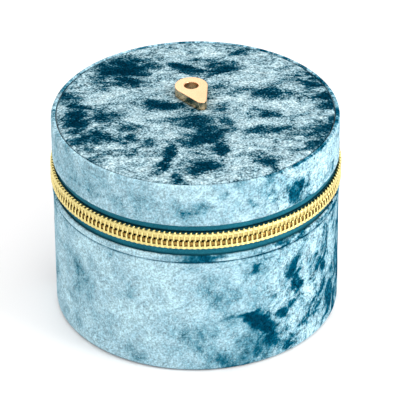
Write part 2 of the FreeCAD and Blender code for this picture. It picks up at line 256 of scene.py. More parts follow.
def tube(path, radii, sides, up):
    """Points and faces of an elliptic tube; radii are (along up, across) for all or each."""
    n = len(path)
    radii = np.broadcast_to(radii, (n, 2))
    along = np.roll(path, -1, 0) - np.roll(path, 1, 0)
    along[0], along[-1] = path[1] - path[0], path[-1] - path[-2]
    along /= np.linalg.norm(along, axis=1)[:, None]
    up = up - (up * along).sum(1)[:, None] * along
    up /= np.maximum(np.linalg.norm(up, axis=1), 1e-9)[:, None]
    across = np.cross(along, up)
    a = np.linspace(0, 2 * np.pi, sides, endpoint=False)
    points = (path[:, None, :]
              + up[:, None, :] * (np.cos(a)[None, :, None] * radii[:, 0][:, None, None])
              + across[:, None, :] * (np.sin(a)[None, :, None] * radii[:, 1][:, None, None]))
    return points.reshape(-1, 3), loft_faces(n, sides)


def merge(parts):
    points, faces, offset = [], [], 0
    for part_points, part_faces in parts:
        points.append(part_points)
        faces += [[i + offset for i in face] for face in part_faces]
        offset += len(part_points)
    return np.concatenate(points), faces


# ---------------------------------------------------------------- shader helpers
def srgb(r, g, b):
    """Linear colour of 0..255 values."""
    return tuple((c / 255 / 12.92) if c / 255 <= 0.04045 else ((c / 255 + 0.055) / 1.055) ** 2.4
                 for c in (r, g, b))


def tones(*rows):
    """Ramp stops from rows of (position, red, green, blue)."""
    return [(row[0], srgb(*row[1:])) for row in rows]


class Nodes:
    """The node tree of a material or world. An input may be a plain value or a socket."""

    def __init__(self, owner):
        owner.use_nodes = True
        self.owner = owner
        self.tree = owner.node_tree
        self.coordinates = self.node("ShaderNodeTexCoord").outputs

    def put(self, socket, value):
        if isinstance(value, bpy.types.NodeSocket):
            self.tree.links.new(value, socket)
        elif socket.type == "RGBA":
            socket.default_value = (*value, 1)
        else:
            socket.default_value = value

    def node(self, kind, inputs=None, **settings):
        """Inputs are keyed by socket name or number."""
        node = self.tree.nodes.new(kind)
        for key, value in settings.items():
            setattr(node, key, value)
        for key, value in (inputs or {}).items():
            self.put(node.inputs[key], value)
        return node

    def mapping(self, at=None, scale=(1, 1, 1), turn=0.0):
        """Space scaled, and turned about z by degrees."""
        return self.node("ShaderNodeMapping", {
            "Vector": at or self.coordinates["Object"], "Scale": scale,
            "Rotation": (0, 0, math.radians(turn))}).outputs[0]

    def noise(self, size, detail=2.0, rough=0.5, warp=0.0, at=None):
        """Noise with features of size mm."""
        return self.node("ShaderNodeTexNoise", {
            "Vector": at or self.coordinates["Object"], "Scale": 1000.0 / size,
            "Detail": detail, "Roughness": rough, "Distortion": warp}).outputs["Fac"]

    def cells(self, size):
        """Distance to the middle of scattered cells of size mm."""
        return self.node("ShaderNodeTexVoronoi", {
            "Vector": self.coordinates["Object"], "Scale": 1000.0 / size}).outputs["Distance"]

    def occlusion(self, reach, samples):
        return self.node("ShaderNodeAmbientOcclusion", {"Distance": reach * MM},
                         samples=samples).outputs["AO"]

    def axes(self, vector):
        return self.node("ShaderNodeSeparateXYZ", {"Vector": vector}).outputs

    def math(self, operation, a, b=0.0, c=None, clamp=False):
        inputs = {0: a, 1: b}
        if c is not None:
            inputs[2] = c
        return self.node("ShaderNodeMath", inputs, operation=operation,
                         use_clamp=clamp).outputs[0]

    def add(self, a, b):
        return self.math("ADD", a, b)

    def times(self, a, b):
        return self.math("MULTIPLY", a, b)

    def weighted(self, a, weight_a, b, weight_b):
        return self.add(self.times(a, weight_a), self.times(b, weight_b))

    def wave(self, value, period):
        return self.math("SINE", self.times(value, 2 * math.pi / period))

    def remap(self, value, span=(0.0, 1.0), to=(0.0, 1.0), smooth=False):
        return self.node("ShaderNodeMapRange", {
            "Value": value, "From Min": span[0], "From Max": span[1],
            "To Min": to[0], "To Max": to[1]},
            interpolation_type="SMOOTHSTEP" if smooth else "LINEAR").outputs[0]

    def ramp(self, value, stops, mode="LINEAR"):
        node = self.node("ShaderNodeValToRGB", {"Fac": value})
        elements = node.color_ramp.elements
        node.color_ramp.interpolation = mode
        while len(elements) > 1:
            elements.remove(elements[-1])
        for i, (position, colour) in enumerate(stops):
            element = elements[0] if i == 0 else elements.new(position)
            element.position = position
            element.color = (*colour, 1)
        return node.outputs[0]

    def mix(self, factor, a, b, mode="MIX"):
        return self.node("ShaderNodeMix", {0: factor, 6: a, 7: b},
                         data_type="RGBA", blend_type=mode).outputs[2]

    def shade(self, colour, red, green=None, blue=None):
        """The colour multiplied by a grey, or by three channels."""
        factor = self.node("ShaderNodeCombineColor", {
            "Red": red, "Green": green or red, "Blue": blue or red}).outputs[0]
        return self.mix(1.0, colour, factor, "MULTIPLY")

    def attribute(self, name):
        return self.node("ShaderNodeAttribute", attribute_name=name).outputs["Fac"]

    def bump(self, height, depth, strength, over=None):
        """A bumped normal, depth in mm, on top of the normal given in over."""
        inputs = {"Height": height, "Strength": strength, "Distance": depth * MM}
        if over is not None:
            inputs["Normal"] = over
        return self.node("ShaderNodeBump", inputs).outputs[0]

    def surface(self, **values):
        """Sets the Principled inputs and returns the material."""
        for key, value in values.items():
            self.put(self.tree.nodes["Principled BSDF"].inputs[key.replace("_", " ")], value)
        return self.owner


def new_material(name):
    return Nodes(bpy.data.materials.new(name))


# ---------------------------------------------------------------- materials
# pile colours from brushed back to lying flat: position, red, green, blue
SIDE_TONES = tones(
    (0.00, 0, 48, 68), (0.25, 0, 60, 82), (0.35, 6, 76, 98), (0.42, 32, 94, 114),
    (0.50, 70, 121, 138), (0.60, 104, 148, 163), (0.70, 128, 167, 181),
    (0.80, 145, 180, 193), (0.90, 157, 191, 202), (1.0, 168, 202, 212))
TOP_TONES = tones(
    (0.00, 0, 34, 50), (0.25, 0, 44, 62), (0.35, 8, 62, 80), (0.42, 40, 84, 99),
    (0.52, 82, 116, 127), (0.63, 121, 150, 160), (0.75, 143, 171, 180),
    (0.87, 160, 184, 190), (0.95, 170, 191, 196), (1.0, 178, 202, 209))


def unrolled_wall(m, radius=0.0475):
    """The side wall laid flat: length round the case, then height (metres)."""
    x, y, z = m.axes(m.coordinates["Object"])
    arc = m.times(m.math("ARCTAN2", x, m.times(y, -1.0)), radius)
    return m.node("ShaderNodeCombineXYZ", {"X": arc, "Y": z, "Z": 0.0}).outputs[0]


def brushed_space(m, at, turn, wander, stretch):
    """Space turned to the brush strokes, and the same bent by noise and stretched."""
    def vector(operation, inputs):
        return m.node("ShaderNodeVectorMath", inputs, operation=operation).outputs[0]
    turned = m.mapping(at=at, turn=turn)
    drift = m.node("ShaderNodeTexNoise", {
        "Vector": turned, "Scale": 1000.0 / wander, "Detail": 1.0}).outputs["Color"]
    drift = vector("SUBTRACT", {0: drift, 1: (0.5, 0.5, 0.5)})
    drift = vector("SCALE", {0: drift, "Scale": 0.012})
    moved = vector("ADD", {0: turned, 1: drift})
    return turned, m.mapping(at=moved, scale=stretch)


def velvet_grain(m, side, turned, strokes, fine, crush):
    """Brightness of single tufts, and on the flat covers of faint rows of ground weave."""
    speck = m.noise(size=0.62, detail=1)
    tuft = m.noise(size=0.95, detail=2, rough=0.55, warp=0.5, at=strokes)
    tuft = m.remap(tuft, span=(0.30, 0.70), to=(-0.5, 0.5))
    if side:
        speck = m.remap(speck, span=(0.30, 0.70), to=(-0.5, 0.5))
        grain = m.weighted(speck, 0.54, tuft, 0.46)
        grain = m.times(grain, m.remap(crush, span=(0.30, 1.0), to=(1.0, 1.7)))
        return m.add(grain, 1.0)
    speck = m.remap(speck, span=(0.30, 0.70), to=(0.58, 1.42))
    grain = m.add(speck, m.times(tuft, 0.60))
    row = m.wave(m.add(m.axes(turned)[1], m.times(fine, 0.0006)), period=0.95 * MM)
    return m.times(grain, m.remap(row, span=(-1, 1), to=(0.93, 1.06)))


def velvet(name, side):
    """Crushed velvet. Its pile lies one way (pale) or the other (dark): the mesh's 'nap' says
    where, and noise as strong as its 'crush' feathers it. On the side bands 'nap' also carries
    painted highlights and painted shade."""
    m = new_material(name)
    nap, crush = m.attribute("nap"), m.attribute("crush")
    if side:
        turned, strokes = brushed_space(m, unrolled_wall(m), turn=38, wander=12.0,
                                        stretch=(1.0, 0.58, 1.0))
    else:
        turned, strokes = brushed_space(m, None, turn=19.0, wander=16.0,
                                        stretch=(0.56, 1.0, 1.0))
    # strengths of the long strokes, the fine strokes and the specks
    long_weight, fine_weight, speck_weight = (1.55, 0.85, 0.40) if side else (1.40, 0.85, 0.95)
    broad = m.noise(size=6.0, detail=5, rough=0.60, warp=0.9, at=strokes)
    fine = m.noise(size=2.1, detail=4, rough=0.62, warp=0.6, at=strokes)
    speck = m.noise(size=0.62, detail=2, rough=0.6)
    pile = m.times(m.math("SUBTRACT", broad, 0.5), long_weight)
    pile = m.math("MULTIPLY_ADD", m.math("SUBTRACT", fine, 0.5), fine_weight, pile)
    pile = m.math("MULTIPLY_ADD", m.math("SUBTRACT", speck, 0.5), speck_weight, pile)
    pile = m.math("MULTIPLY_ADD", pile, crush, nap)
    colour = m.ramp(pile, SIDE_TONES if side else TOP_TONES)
    light = m.remap(pile, span=(0.40, 0.62), smooth=True)
    colour = m.shade(colour, velvet_grain(m, side, turned, strokes, fine, crush))

    # dark pits between tufts
    pits = m.remap(m.cells(size=0.55), span=(0.18, 0.05), to=(0.0, 0.78), smooth=True)
    if side:
        pits = m.times(pits, m.remap(crush, span=(0.35, 1.0), to=(0.55, 1.0)))
    colour = m.mix(m.times(pits, m.remap(light, to=(1.0, 0.55))), colour, srgb(14, 66, 84))

    # pale glints on tuft ends
    glints = m.remap(m.noise(size=0.50, detail=0), span=(0.60, 0.72),
                     to=(0.0, 0.50 if side else 0.36), smooth=True)
    glints = m.times(glints, m.remap(light, to=(0.02, 1.0)))
    if side:
        glints = m.times(glints, m.remap(crush, span=(0.35, 1.0), to=(0.70, 1.0)))
    colour = m.mix(glints, colour, srgb(190, 218, 228))

    # shade in seams and under edges
    open_air = m.remap(m.occlusion(reach=1.3, samples=5), span=(0.25, 0.80), to=(0.30, 1.0))
    colour = m.shade(colour, red=m.math("POWER", open_air, 1.3), green=open_air,
                     blue=m.math("POWER", open_air, 0.9))

    # painted sheen: looking along the surface the pile shows its tips, so the colour is mixed
    # towards a pale grey-blue
    facing = m.node("ShaderNodeLayerWeight", {"Blend": 0.35}).outputs["Facing"]
    painted_sheen = m.times(m.remap(facing, span=(0.40, 1.0), to=(0.0, 0.45), smooth=True),
                   m.remap(light, to=(0.15, 1.0)))
    colour = m.mix(painted_sheen, colour, m.mix(0.5, colour, srgb(116, 150, 166)))

    tuft = m.noise(size=0.34, detail=1)
    normal = m.bump(m.weighted(tuft, 0.5, fine, 0.9), depth=0.16, strength=0.6)
    normal = m.bump(pile, depth=0.5, strength=0.30, over=normal)
    return m.surface(Base_Color=colour, Roughness=0.85,
                     Specular_IOR_Level=m.remap(light, to=(0.0, 0.08)),
                     Sheen_Weight=m.remap(light, to=(0.0, 0.20)), Sheen_Roughness=0.42,
                     Sheen_Tint=srgb(186, 220, 232), Normal=normal)


def velveteen():
    m = new_material("velveteen_lining")
    cloud = m.weighted(m.noise(size=8.0, detail=4, rough=0.6, warp=0.8), 0.7,
                       m.noise(size=2.4, detail=3, rough=0.6, warp=0.5), 0.3)
    tuft = m.noise(size=0.42, detail=1)
    colour = m.ramp(cloud, tones((0.34, 92, 140, 160), (0.44, 126, 168, 184),
                                 (0.54, 150, 188, 202), (0.68, 176, 208, 219)))
    colour = m.shade(colour, m.remap(tuft, span=(0.3, 0.7), to=(0.84, 1.12)))
    normal = m.bump(m.add(tuft, m.times(cloud, 0.6)), depth=0.10, strength=0.6)
    return m.surface(Base_Color=colour, Roughness=0.9, Specular_IOR_Level=0.15,
                     Sheen_Weight=0.45, Sheen_Roughness=0.4, Sheen_Tint=srgb(205, 230, 238),
                     Normal=normal)


def woven_tape(radius=46.5):
    """Zip tape; its weave follows the length round the case and the height, in mm. The mesh's
    'shade' darkens it."""
    m = new_material("woven_zip_tape")
    x, y, z = m.axes(m.coordinates["Object"])
    arc = m.times(m.math("ARCTAN2", x, y), radius)
    height = m.times(z, 1000.0)
    warp = m.wave(height, period=0.52)
    twill = m.wave(m.add(arc, m.times(height, 1.3)), period=0.62)
    weave = m.weighted(warp, 0.6, twill, 0.4)
    fuzz = m.noise(size=0.35, detail=3, rough=0.6)
    slow = m.noise(size=7.0, detail=2)
    tone = m.add(m.times(weave, 0.13), m.weighted(fuzz, 0.85, slow, 0.35))
    tone = m.math("SUBTRACT", tone, 0.16)
    colour = m.ramp(tone, tones((0.22, 6, 74, 92), (0.45, 14, 98, 118), (0.68, 34, 122, 140)))
    colour = m.mix(m.attribute("shade"), colour, srgb(0, 8, 12))
    normal = m.bump(m.add(weave, m.times(fuzz, 0.5)), depth=0.07, strength=0.7)
    lit = m.math("SUBTRACT", 1.0, m.attribute("shade"), clamp=True)
    return m.surface(Base_Color=colour, Roughness=0.78, Specular_IOR_Level=m.times(lit, 0.18),
                     Sheen_Weight=m.times(lit, 0.08), Sheen_Roughness=0.5,
                     Sheen_Tint=srgb(100, 180, 195), Normal=normal)


def gilt(name, deep, pale, rough, scratch=0.03, size=1.2, paints_bed_shade=False, darkest=0.30):
    """Gilt metal between two colours, with painted shade where it is occluded; 'bed' on the mesh
    paints shade, in dark brown gold, on the cord and cloth bed inside the coil.
    """
    m = new_material(name)
    cloud = m.noise(size=size, detail=3, rough=0.55)
    fine = m.noise(size=0.10, detail=2, rough=0.6)
    open_air = m.occlusion(reach=1.1, samples=6)
    colour = m.mix(cloud, srgb(*deep), srgb(*pale))
    shade = m.remap(open_air, span=(0.15, 0.85), to=(darkest, 1.0))
    # painted shade, in dark brown gold, as much as the mesh's 'bed' says
    if paints_bed_shade:
        colour = m.mix(m.attribute("bed"), colour, srgb(150, 118, 60))
    colour = m.shade(colour, red=shade, green=m.math("POWER", shade, 1.1),
                     blue=m.math("POWER", shade, 1.35))
    roughness = m.remap(cloud, span=(0.2, 0.8), to=(rough * 0.8, rough * 1.3))
    normal = m.bump(m.weighted(cloud, 0.5, fine, 0.5), depth=scratch, strength=0.5)
    return m.surface(Base_Color=colour, Metallic=1.0, Roughness=roughness, Normal=normal)


def greyboard():
    m = new_material("greyboard")
    fibre = m.noise(size=0.5, detail=4, rough=0.65, at=m.mapping(scale=(1, 0.35, 1)))
    colour = m.ramp(m.weighted(fibre, 0.8, m.cells(size=2.4), 0.3),
                    tones((0.3, 132, 124, 112), (0.55, 164, 156, 142), (0.8, 184, 176, 162)),
                    mode="EASE")
    return m.surface(Base_Color=colour, Roughness=0.9,
                     Normal=m.bump(fibre, depth=0.08, strength=0.6))


def foam():
    m = new_material("cream_foam")
    pores = m.cells(size=0.7)
    colour = m.ramp(pores, tones((0.0, 170, 160, 135), (0.3, 222, 214, 192),
                                 (0.8, 240, 234, 216)), mode="EASE")
    return m.surface(Base_Color=colour, Roughness=0.95, Subsurface_Weight=0.15,
                     Subsurface_Scale=0.001, Normal=m.bump(pores, depth=0.2, strength=0.8))


def mirror():
    """Silvered glass with a darker rim."""
    m = new_material("silvered_glass")
    cloud = m.noise(size=40.0, detail=2)
    haze = m.noise(size=0.8, detail=4, rough=0.7)
    x, y, _ = m.axes(m.coordinates["Object"])
    radius = m.math("SQRT", m.add(m.times(x, x), m.times(y, y)))
    rim = m.remap(radius, span=(0.0284, 0.0290), smooth=True)
    glass = m.mix(cloud, srgb(168, 178, 183), srgb(182, 191, 195))
    return m.surface(Base_Color=m.mix(rim, glass, srgb(104, 130, 138)), Metallic=1.0,
                     Roughness=m.remap(haze, span=(0.55, 0.85), to=(0.02, 0.10), smooth=True),
                     Coat_Weight=0.3, Coat_Roughness=0.02)


def steel():
    m = new_material("stamped_steel")
    grain = m.noise(size=0.3, detail=3, rough=0.6, at=m.mapping(scale=(1, 8, 1)))
    return m.surface(Base_Color=m.mix(grain, srgb(150, 150, 152), srgb(196, 196, 198)),
                     Metallic=1.0, Roughness=0.38,
                     Normal=m.bump(grain, depth=0.02, strength=0.6))


def adhesive_film():
    m = new_material("adhesive_film")
    cloud = m.noise(size=2.0, detail=3, rough=0.6)
    return m.surface(Base_Color=m.mix(cloud, srgb(216, 214, 200), srgb(232, 230, 218)),
                     Roughness=0.55, Normal=m.bump(cloud, depth=0.05, strength=0.5))


TOP_VELVET = velvet("crushed_velvet_top", side=False)
SIDE_VELVET = velvet("crushed_velvet_side", side=True)
LINING = velveteen()
TAPE = woven_tape()
GILT_COIL = gilt("gilt_coil", (226, 208, 132), (246, 232, 164), rough=0.28, paints_bed_shade=True)
GILT_SLIDER = gilt("gilt_slider", (240, 200, 122), (250, 216, 148), rough=0.30, darkest=0.62)
GILT_CHARM = gilt("rose_gilt_charm", (244, 190, 144), (251, 206, 162), rough=0.22,
                  scratch=0.015, size=4.0)
BOARD, FOAM, MIRROR, STEEL, FILM = greyboard(), foam(), mirror(), steel(), adhesive_film()


def dress(ob, material, slot, node, body=None, bend=None):
    """Gives a piece its material and hides the CAD node it stands for; it rides one body, or
    with bend its transform is baked in.
    """
    ob.data.materials.append(material)
    if body:
        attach(ob, body)
    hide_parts(node)
    if bend:
        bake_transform(ob)


# ---------------------------------------------------------------- where the pile is brushed back
# each: centre and half sizes in mm, turn in degrees, strength
# on the lid the centre is x, y
TOP_MARKS = [
    (-16, 33, 6.0, 6.1, 0, 1), (-4, 32, 3.7, 2.0, 0, .8), (-15, 26, 3.3, 3.3, 0, .9),
    (-36, 21, 3.0, 3.9, 0, .9), (-39, 9, 3.6, 5.8, 0, 1), (-29, 7, 3.9, 2.6, 0, .8),
    (-42, 3, 2.3, 2.5, 0, .9), (-24, -3, 2.9, 2.5, 0, .6), (-9, 7, 4.6, 2.9, 0, 1),
    (6, 28, 2.0, 4.1, 60, .9), (18, 24, 5.0, 4.1, 0, 1), (29, 32, 3.7, 2.8, 0, .7),
    (16, 31, 4.0, 2.0, 0, .5), (23, 6, 9.9, 2.6, 0, .65), (30, 0, 3.3, 2.6, 0, .7),
    (44, 6, 4.0, 5.3, -20, .8), (43, -7, 3.0, 5.9, 0, .8), (8, -2, 2.3, 2.6, 0, .6),
    (22, -9, 3.3, 2.6, 0, .55), (-1, -6, 5.9, 3.2, 0, .6), (7, -13, 1.6, 5.1, 0, .7),
    (-3, -17, 5.5, 5.0, 0, 1), (0, -26, 1.9, 5.0, 0, .95), (-39, -5, 3.9, 4.4, 0, .9),
    (-25, -11, 1.6, 1.3, 0, .8), (-21, -16, 2.6, 1.9, 0, .6), (-20, -26, 1.7, 7.4, -26, .9),
    (-10, -35, 5.4, 2.1, 0, .8), (-19, -36, 1.9, 2.4, 0, .7), (18, -21, 6.5, 1.9, 12, .85),
    (33, -26, 2.3, 5.7, 0, .6), (38, -23, 1.6, 5.0, -35, .75), (29, -33, 4.6, 1.6, 35, .7),
    (12, -38, 3.2, 3.1, 0, .6), (39, 10, 3.0, 2.7, 0, .5), (-25, 26, 5.0, 2.7, 0, .6),
    (25, 37, 3.4, 2.1, 0, .5)]
# on the sides the centre is the angle from the front in degrees, then z
BASE_MARKS = [
    (4.0, 19.6, 2.6, 1.1, 0, 1), (6.6, 17.2, 3.0, 1.9, -40, 1), (8.6, 14.6, 2.4, 1.6, -20, .95),
    (11, 10, 2.4, 2.8, 0, .75), (22, 30, 2.0, 4.6, -38, .85), (24, 25.5, 1.6, 2.8, 10, .95),
    (17.5, 25.5, 2.6, 1.0, 20, .6), (19, 18, 5.1, 1.0, 8, .66), (33, 9, 5.1, 1.6, 0, .46),
    (23, 4, 2.8, 2.4, 0, .6), (43, 32, 2.6, 10.0, -12, .75), (35, 32, 1.6, 6.8, -15, .44),
    (52, 13, 7.6, 11.6, -8, .58), (70, 28, 14, 18, 0, .74), (4, 38, 1.8, 1.2, 0, .6),
    (-27, 15, 3.0, 2.4, 0, .20), (-46, 28, 1.8, 1.6, 0, .22), (-41, 17, 1.4, 2.0, 0, .22),
    (-41, 4, 2.5, 1.6, 0, .2), (-23, 8, 3.3, 1.6, 0, .16), (-8, 5, 7, 3.6, 0, .14),
    (3, 12, 3, 8, -20, .14), (-3, 24, 3, 8, 40, .12), (-18, 11, 4.6, 3.6, 20, .14),
    (-14, 35, 8.4, 2.7, -25, .10), (-12, 28, 4.6, 3.9, -25, .12), (-66, 27, 9, 6.5, 30, .24),
    (-77, 6, 2.7, 3.3, 0, .25), (-60, 14, 4, 6, 0, .12), (37, 14, 5.7, 2.4, 0, .36)]
LID_MARKS = [
    (26, 61, 3.8, 3.4, 0, .85), (29, 56, 3.0, 2.3, 0, .7), (-7, 68, 1.3, 1.1, 0, .5),
    (5, 62, 1.4, 1.1, 0, .5), (-21, 64, 5.1, 2.2, 0, .35), (-36, 64, 3.3, 1.9, 0, .2),
    (49, 57, 3.0, 3.5, -10, .36), (40, 57, 2.1, 3.1, -10, .26), (-62, 64, 9.1, 3.8, 0, .2),
    (13, 65, 1.9, 1.1, 0, .4), (-82, 64, 9.4, 5.5, 0, .18), (-2, 60, 5, 2, 0, .14),
    (-16, 60, 3, 1.6, 0, .12)]


def brushed_back(u, v, marks, turn=0.0):
    """Up to 1 where the pile is brushed back, 0 where it lies flat. u, v in mm."""
    deepest = np.zeros(len(u))
    for x, y, half_u, half_v, own_turn, strength in marks:
        a = math.radians(own_turn + turn)
        du, dv = u - x, v - y
        p, q = du * math.cos(a) + dv * math.sin(a), -du * math.sin(a) + dv * math.cos(a)
        distance = np.sqrt((p / (half_u * 1.25)) ** 2 + (q / (half_v * 1.25)) ** 2)
        deepest = np.maximum(deepest, strength * np.clip(1.50 - distance, 0, 1))
    return deepest


def top_nap(points, r, phi, z):
    x, y = points[:, 0], points[:, 1]
    marks = brushed_back(x + 4.0 * sway(points, 8, seed=3, octaves=4),
                         y + 4.0 * sway(points, 8, seed=5, octaves=4), TOP_MARKS, turn=-19.0)
    nap = 0.64 - 0.52 * marks + 0.07 * sway(points, 10, seed=9, octaves=3)
    return {"nap": nap + 0.04 * rise(x, start=5, over=15), "crush": np.ones(len(points))}


def bottom_nap(points, r, phi, z):
    patches = np.clip((layered_noise(points, 7, seed=73, octaves=3) - .55) * 8, 0, 1)
    return {"nap": 0.62 + 0.25 * sway(points, 12, seed=71, octaves=3) - 0.3 * patches,
            "crush": np.full(len(points), 0.9)}


def with_drawn_marks(marks):
    """Adds marks from a seeded draw over the back, and turns angles into mm of arc."""
    rng = np.random.default_rng(11 + len(marks))
    heights = [mark[1] for mark in marks]
    low, high = min(heights) - 4, max(heights) + 4
    drawn = []
    for _ in range(34):
        drawn.append((rng.uniform(62, 262), rng.uniform(low, high), rng.uniform(1.5, 5.5),
                      rng.uniform(1.5, 6.5), rng.uniform(-25, 25), rng.uniform(.35, 1)))
    return [(math.radians(mark[0]) * RADIUS, *mark[1:]) for mark in marks + drawn]


def side_nap(marks, lie):
    """The paint of a side band; lie is the nap of its unmarked pile."""
    arc_marks = with_drawn_marks(marks)

    def paint(points, r, phi, z):
        angle = (phi + 100) % 360 - 100
        arc = np.radians(angle) * RADIUS
        turn = 2 * math.pi * RADIUS

        # the angle starts again at -100: the two ends' patterns mix over 16 degrees
        mixing = rise(angle, start=-100, over=16)
        mixing = mixing * mixing * (3 - 2 * mixing)

        def both(pattern):
            return mixing * pattern(arc) + (1 - mixing) * pattern(arc + turn)

        def leaning(u):
            return np.stack([u * 0.82 + z * 0.57, (z * 0.82 - u * 0.57) * 0.55, 0 * u], -1)

        wobble_u, wobble_z = (3.5 * sway(points, 7, coarse, octaves=4)
                              + 1.7 * sway(points, 2.2, fine_seed, octaves=2)
                              for coarse, fine_seed in ((23, 123), (29, 129)))
        depth = np.maximum.reduce([
            brushed_back(arc + k * turn + wobble_u, z + wobble_z, arc_marks)
            for k in (0, 1, -1)])
        cloud = both(lambda u: np.clip(sway(leaning(u), 13, seed=31, octaves=3) * 1.3, -1, 1))
        fine = both(lambda u: sway(leaning(u), 3.6, seed=37, octaves=3))
        nap = (lie - 0.58 * depth + 0.14 * cloud + 0.19 * fine
               + 0.05 * mixing * rise(angle, start=-32, over=-15))

        if marks is BASE_MARKS:
            # the rolled lip is brushed over, with painted highlights in pale streaks along it
            lip = rise(z, start=42.1, over=0.5)
            lip_highlight_streaks = both(lambda u: layered_noise(
                np.stack([u / 5.0, z * 1.6, 0 * z], -1), 1.0, seed=77, octaves=2))
            ragged = angle + 8 * sway(points, 9, seed=141, octaves=3)
            dark = np.maximum(bell(ragged, centre=-18, width=12.0),
                              0.85 * window(ragged, low=4, high=78, edge=14))
            back = np.maximum(rise(angle, start=90, over=20), 1 - mixing)
            dark = np.maximum(dark, 0.5 * back)
            nap = nap * (1 - lip * dark) + lip * dark * (0.30 + 0.16 * fine)
            lip_highlight_streaks = np.clip((lip_highlight_streaks - 0.58) * 6, 0, 1)
            nap = nap + lip * 0.60 * lip_highlight_streaks * (1 - 0.8 * bell(angle, -17.5, width=8.0, power=4))

        # the pile is softly crushed at the front left, hard at the front right
        crush = 0.36 + 0.64 * rise(angle, start=2, over=20) * (
            0.72 + 0.28 * np.clip((75 - angle) / 20, -1, 1))
        crush = np.where(angle < -80, 0.36 + 0.3 * rise(angle, start=-80, over=-15), crush)
        nap = nap + 0.08 * rise(crush, start=0.4, over=0.6)

        if marks is BASE_MARKS:
            # darker at the foot in front, painted shade in the groove, paler on the left
            nap = (nap - 0.07 * rise(z, start=11, over=-9) * bell(angle, centre=-2, width=32)
                   - 0.42 * bell(z, centre=42.28, width=0.24)
                   + 0.125 * mixing * rise(angle, start=-15, over=-15))
            nap = (nap + 0.05 * rise(angle, start=6, over=8) * rise(angle, start=46, over=-8)
                   - 0.022 * bell(angle, centre=-14, width=16, power=4))
        if marks is LID_MARKS:
            nap = nap + 0.06 * rise(angle, start=14, over=10) * rise(angle, start=62, over=-15)

        # dashes along the stitch lines
        dashes = np.clip(np.sin(arc / 2.3 * 2 * math.pi) * 1.6 + .4, 0, 1)
        for stitch_z in (BASE_STITCH_Z, LID_STITCH_Z):
            nap = nap - 0.16 * bell(z, stitch_z, width=0.32) * dashes

        # the lid's upper rim where it turns over, as a painted highlight: palest on the left,
        # darkest on the right
        rim = rise(z, start=70.45, over=0.35)
        left = window(angle, low=-100, high=16, edge=22)
        right = window(angle, low=4, high=112, edge=22)
        rim_highlight = (0.80 * left + 0.50 * right + 0.60 * (1 - left) * (1 - right)
                   + 0.10 * cloud + 0.2 * fine)
        return {"nap": nap * (1 - rim) + rim * rim_highlight,
                "crush": crush * (1 - rim) + rim * (1 - 0.6 * left)}
    return paint


# ---------------------------------------------------------------- velvet covers
def run(r, start, stop, step):
    """An upright stretch of profile."""
    return [(r, z) for z in np.arange(start, stop, step)]


def stitch_dents(z, phi, stitch_z, depth=0.10, length=2.6, width=0.32):
    s = np.abs(np.sin(np.radians(phi) * RADIUS / length * math.pi))
    return -depth * bell(z, stitch_z, width) * (0.35 + 0.65 * np.clip(1 - s * s * s, 0, 1))


def side_shift(seed, stitch_z, edge, swell):
    """Swelling and stitch dents of a band's outer face, and its uneven edge."""
    def shift(points, r, phi, z):
        outer = rise(r, start=RADIUS - 0.55, over=0.4)
        dr = swell * sway(points, 9, seed, octaves=3) * outer
        dr += stitch_dents(z, phi, stitch_z) * outer
        near_edge = np.clip(1 - np.abs(z - edge) / 1.6, 0, 1)
        level = points * [1, 1, 0]
        dz = (0.16 * sway(level, 11, seed + 7, octaves=2)
              + 0.12 * sway(level, 1.7, seed + 9, octaves=2)) * near_edge
        return dr, dz
    return shift


def lid_side():
    """Turned in at its lower edge, over the rim at its top and down into the seam."""
    profile = [
        (46.70, 57.4), (46.72, 56.62), (46.84, 56.36), (47.06, LID_EDGE - 0.02),
        (47.30, LID_EDGE + 0.06), (47.46, LID_EDGE + 0.30), (47.50, LID_EDGE + 0.75)]
    profile += run(47.5, 57.6, 69.6, 0.45)
    profile += [
        (47.49, 69.75), (47.44, 70.15), (47.30, 70.52), (47.06, 70.80), (46.74, 70.97),
        (46.46, 71.02), (46.20, 70.96), (46.00, 70.80), (45.90, 70.50), (45.86, 70.10),
        (45.84, 69.80), (46.2, 69.77), (46.68, 69.7), (46.68, 65.0), (46.68, 61.0)]
    ob = ring("lid_side_velvet", profile, n=640, paint=side_nap(LID_MARKS, lie=0.75),
              shift=side_shift(41, LID_STITCH_Z, LID_EDGE, swell=0.10))
    dress(ob, SIDE_VELVET, "velvet_outer", "lid_side_cover", "lid")


def lid_top_shift(points, r, phi, z):
    """A low crown with soft waves, pressed in under the charm."""
    x, y = points[:, 0] - CHARM_X, points[:, 1] - CHARM_Y
    crown = 0.30 * np.clip(1 - (r / 45.0) ** 2, 0, 1)
    waves = 0.10 * sway(points, 13, seed=51, octaves=3) * rise(r, start=45, over=-4)
    foot = 0.18 * np.exp(-((x / 6.2) ** 2 + (y / 9.5) ** 2) ** 2)
    flattened = crown * 0.9 * np.exp(-((x / 8) ** 2 + (y / 11) ** 2))
    return 0, np.where(z > 70.4, crown + waves - foot - flattened, 0)


def lid_top():
    profile = [
        (0, 70.11), (20, 70.11), (40, 70.11), (45.36, 70.12), (45.62, 70.2), (45.70, 70.42),
        (45.62, 70.66), (45.42, 70.86), (45.1, 70.96), (44.6, 71.0)]
    profile += [(r, 71.0) for r in np.arange(44.0, 0.4, -0.6)] + [(0, 71.0)]
    ob = disc("lid_top_velvet", profile, n=400, shift=lid_top_shift, paint=top_nap)
    dress(ob, TOP_VELVET, "velvet_outer", "lid_top_cover", "lid")


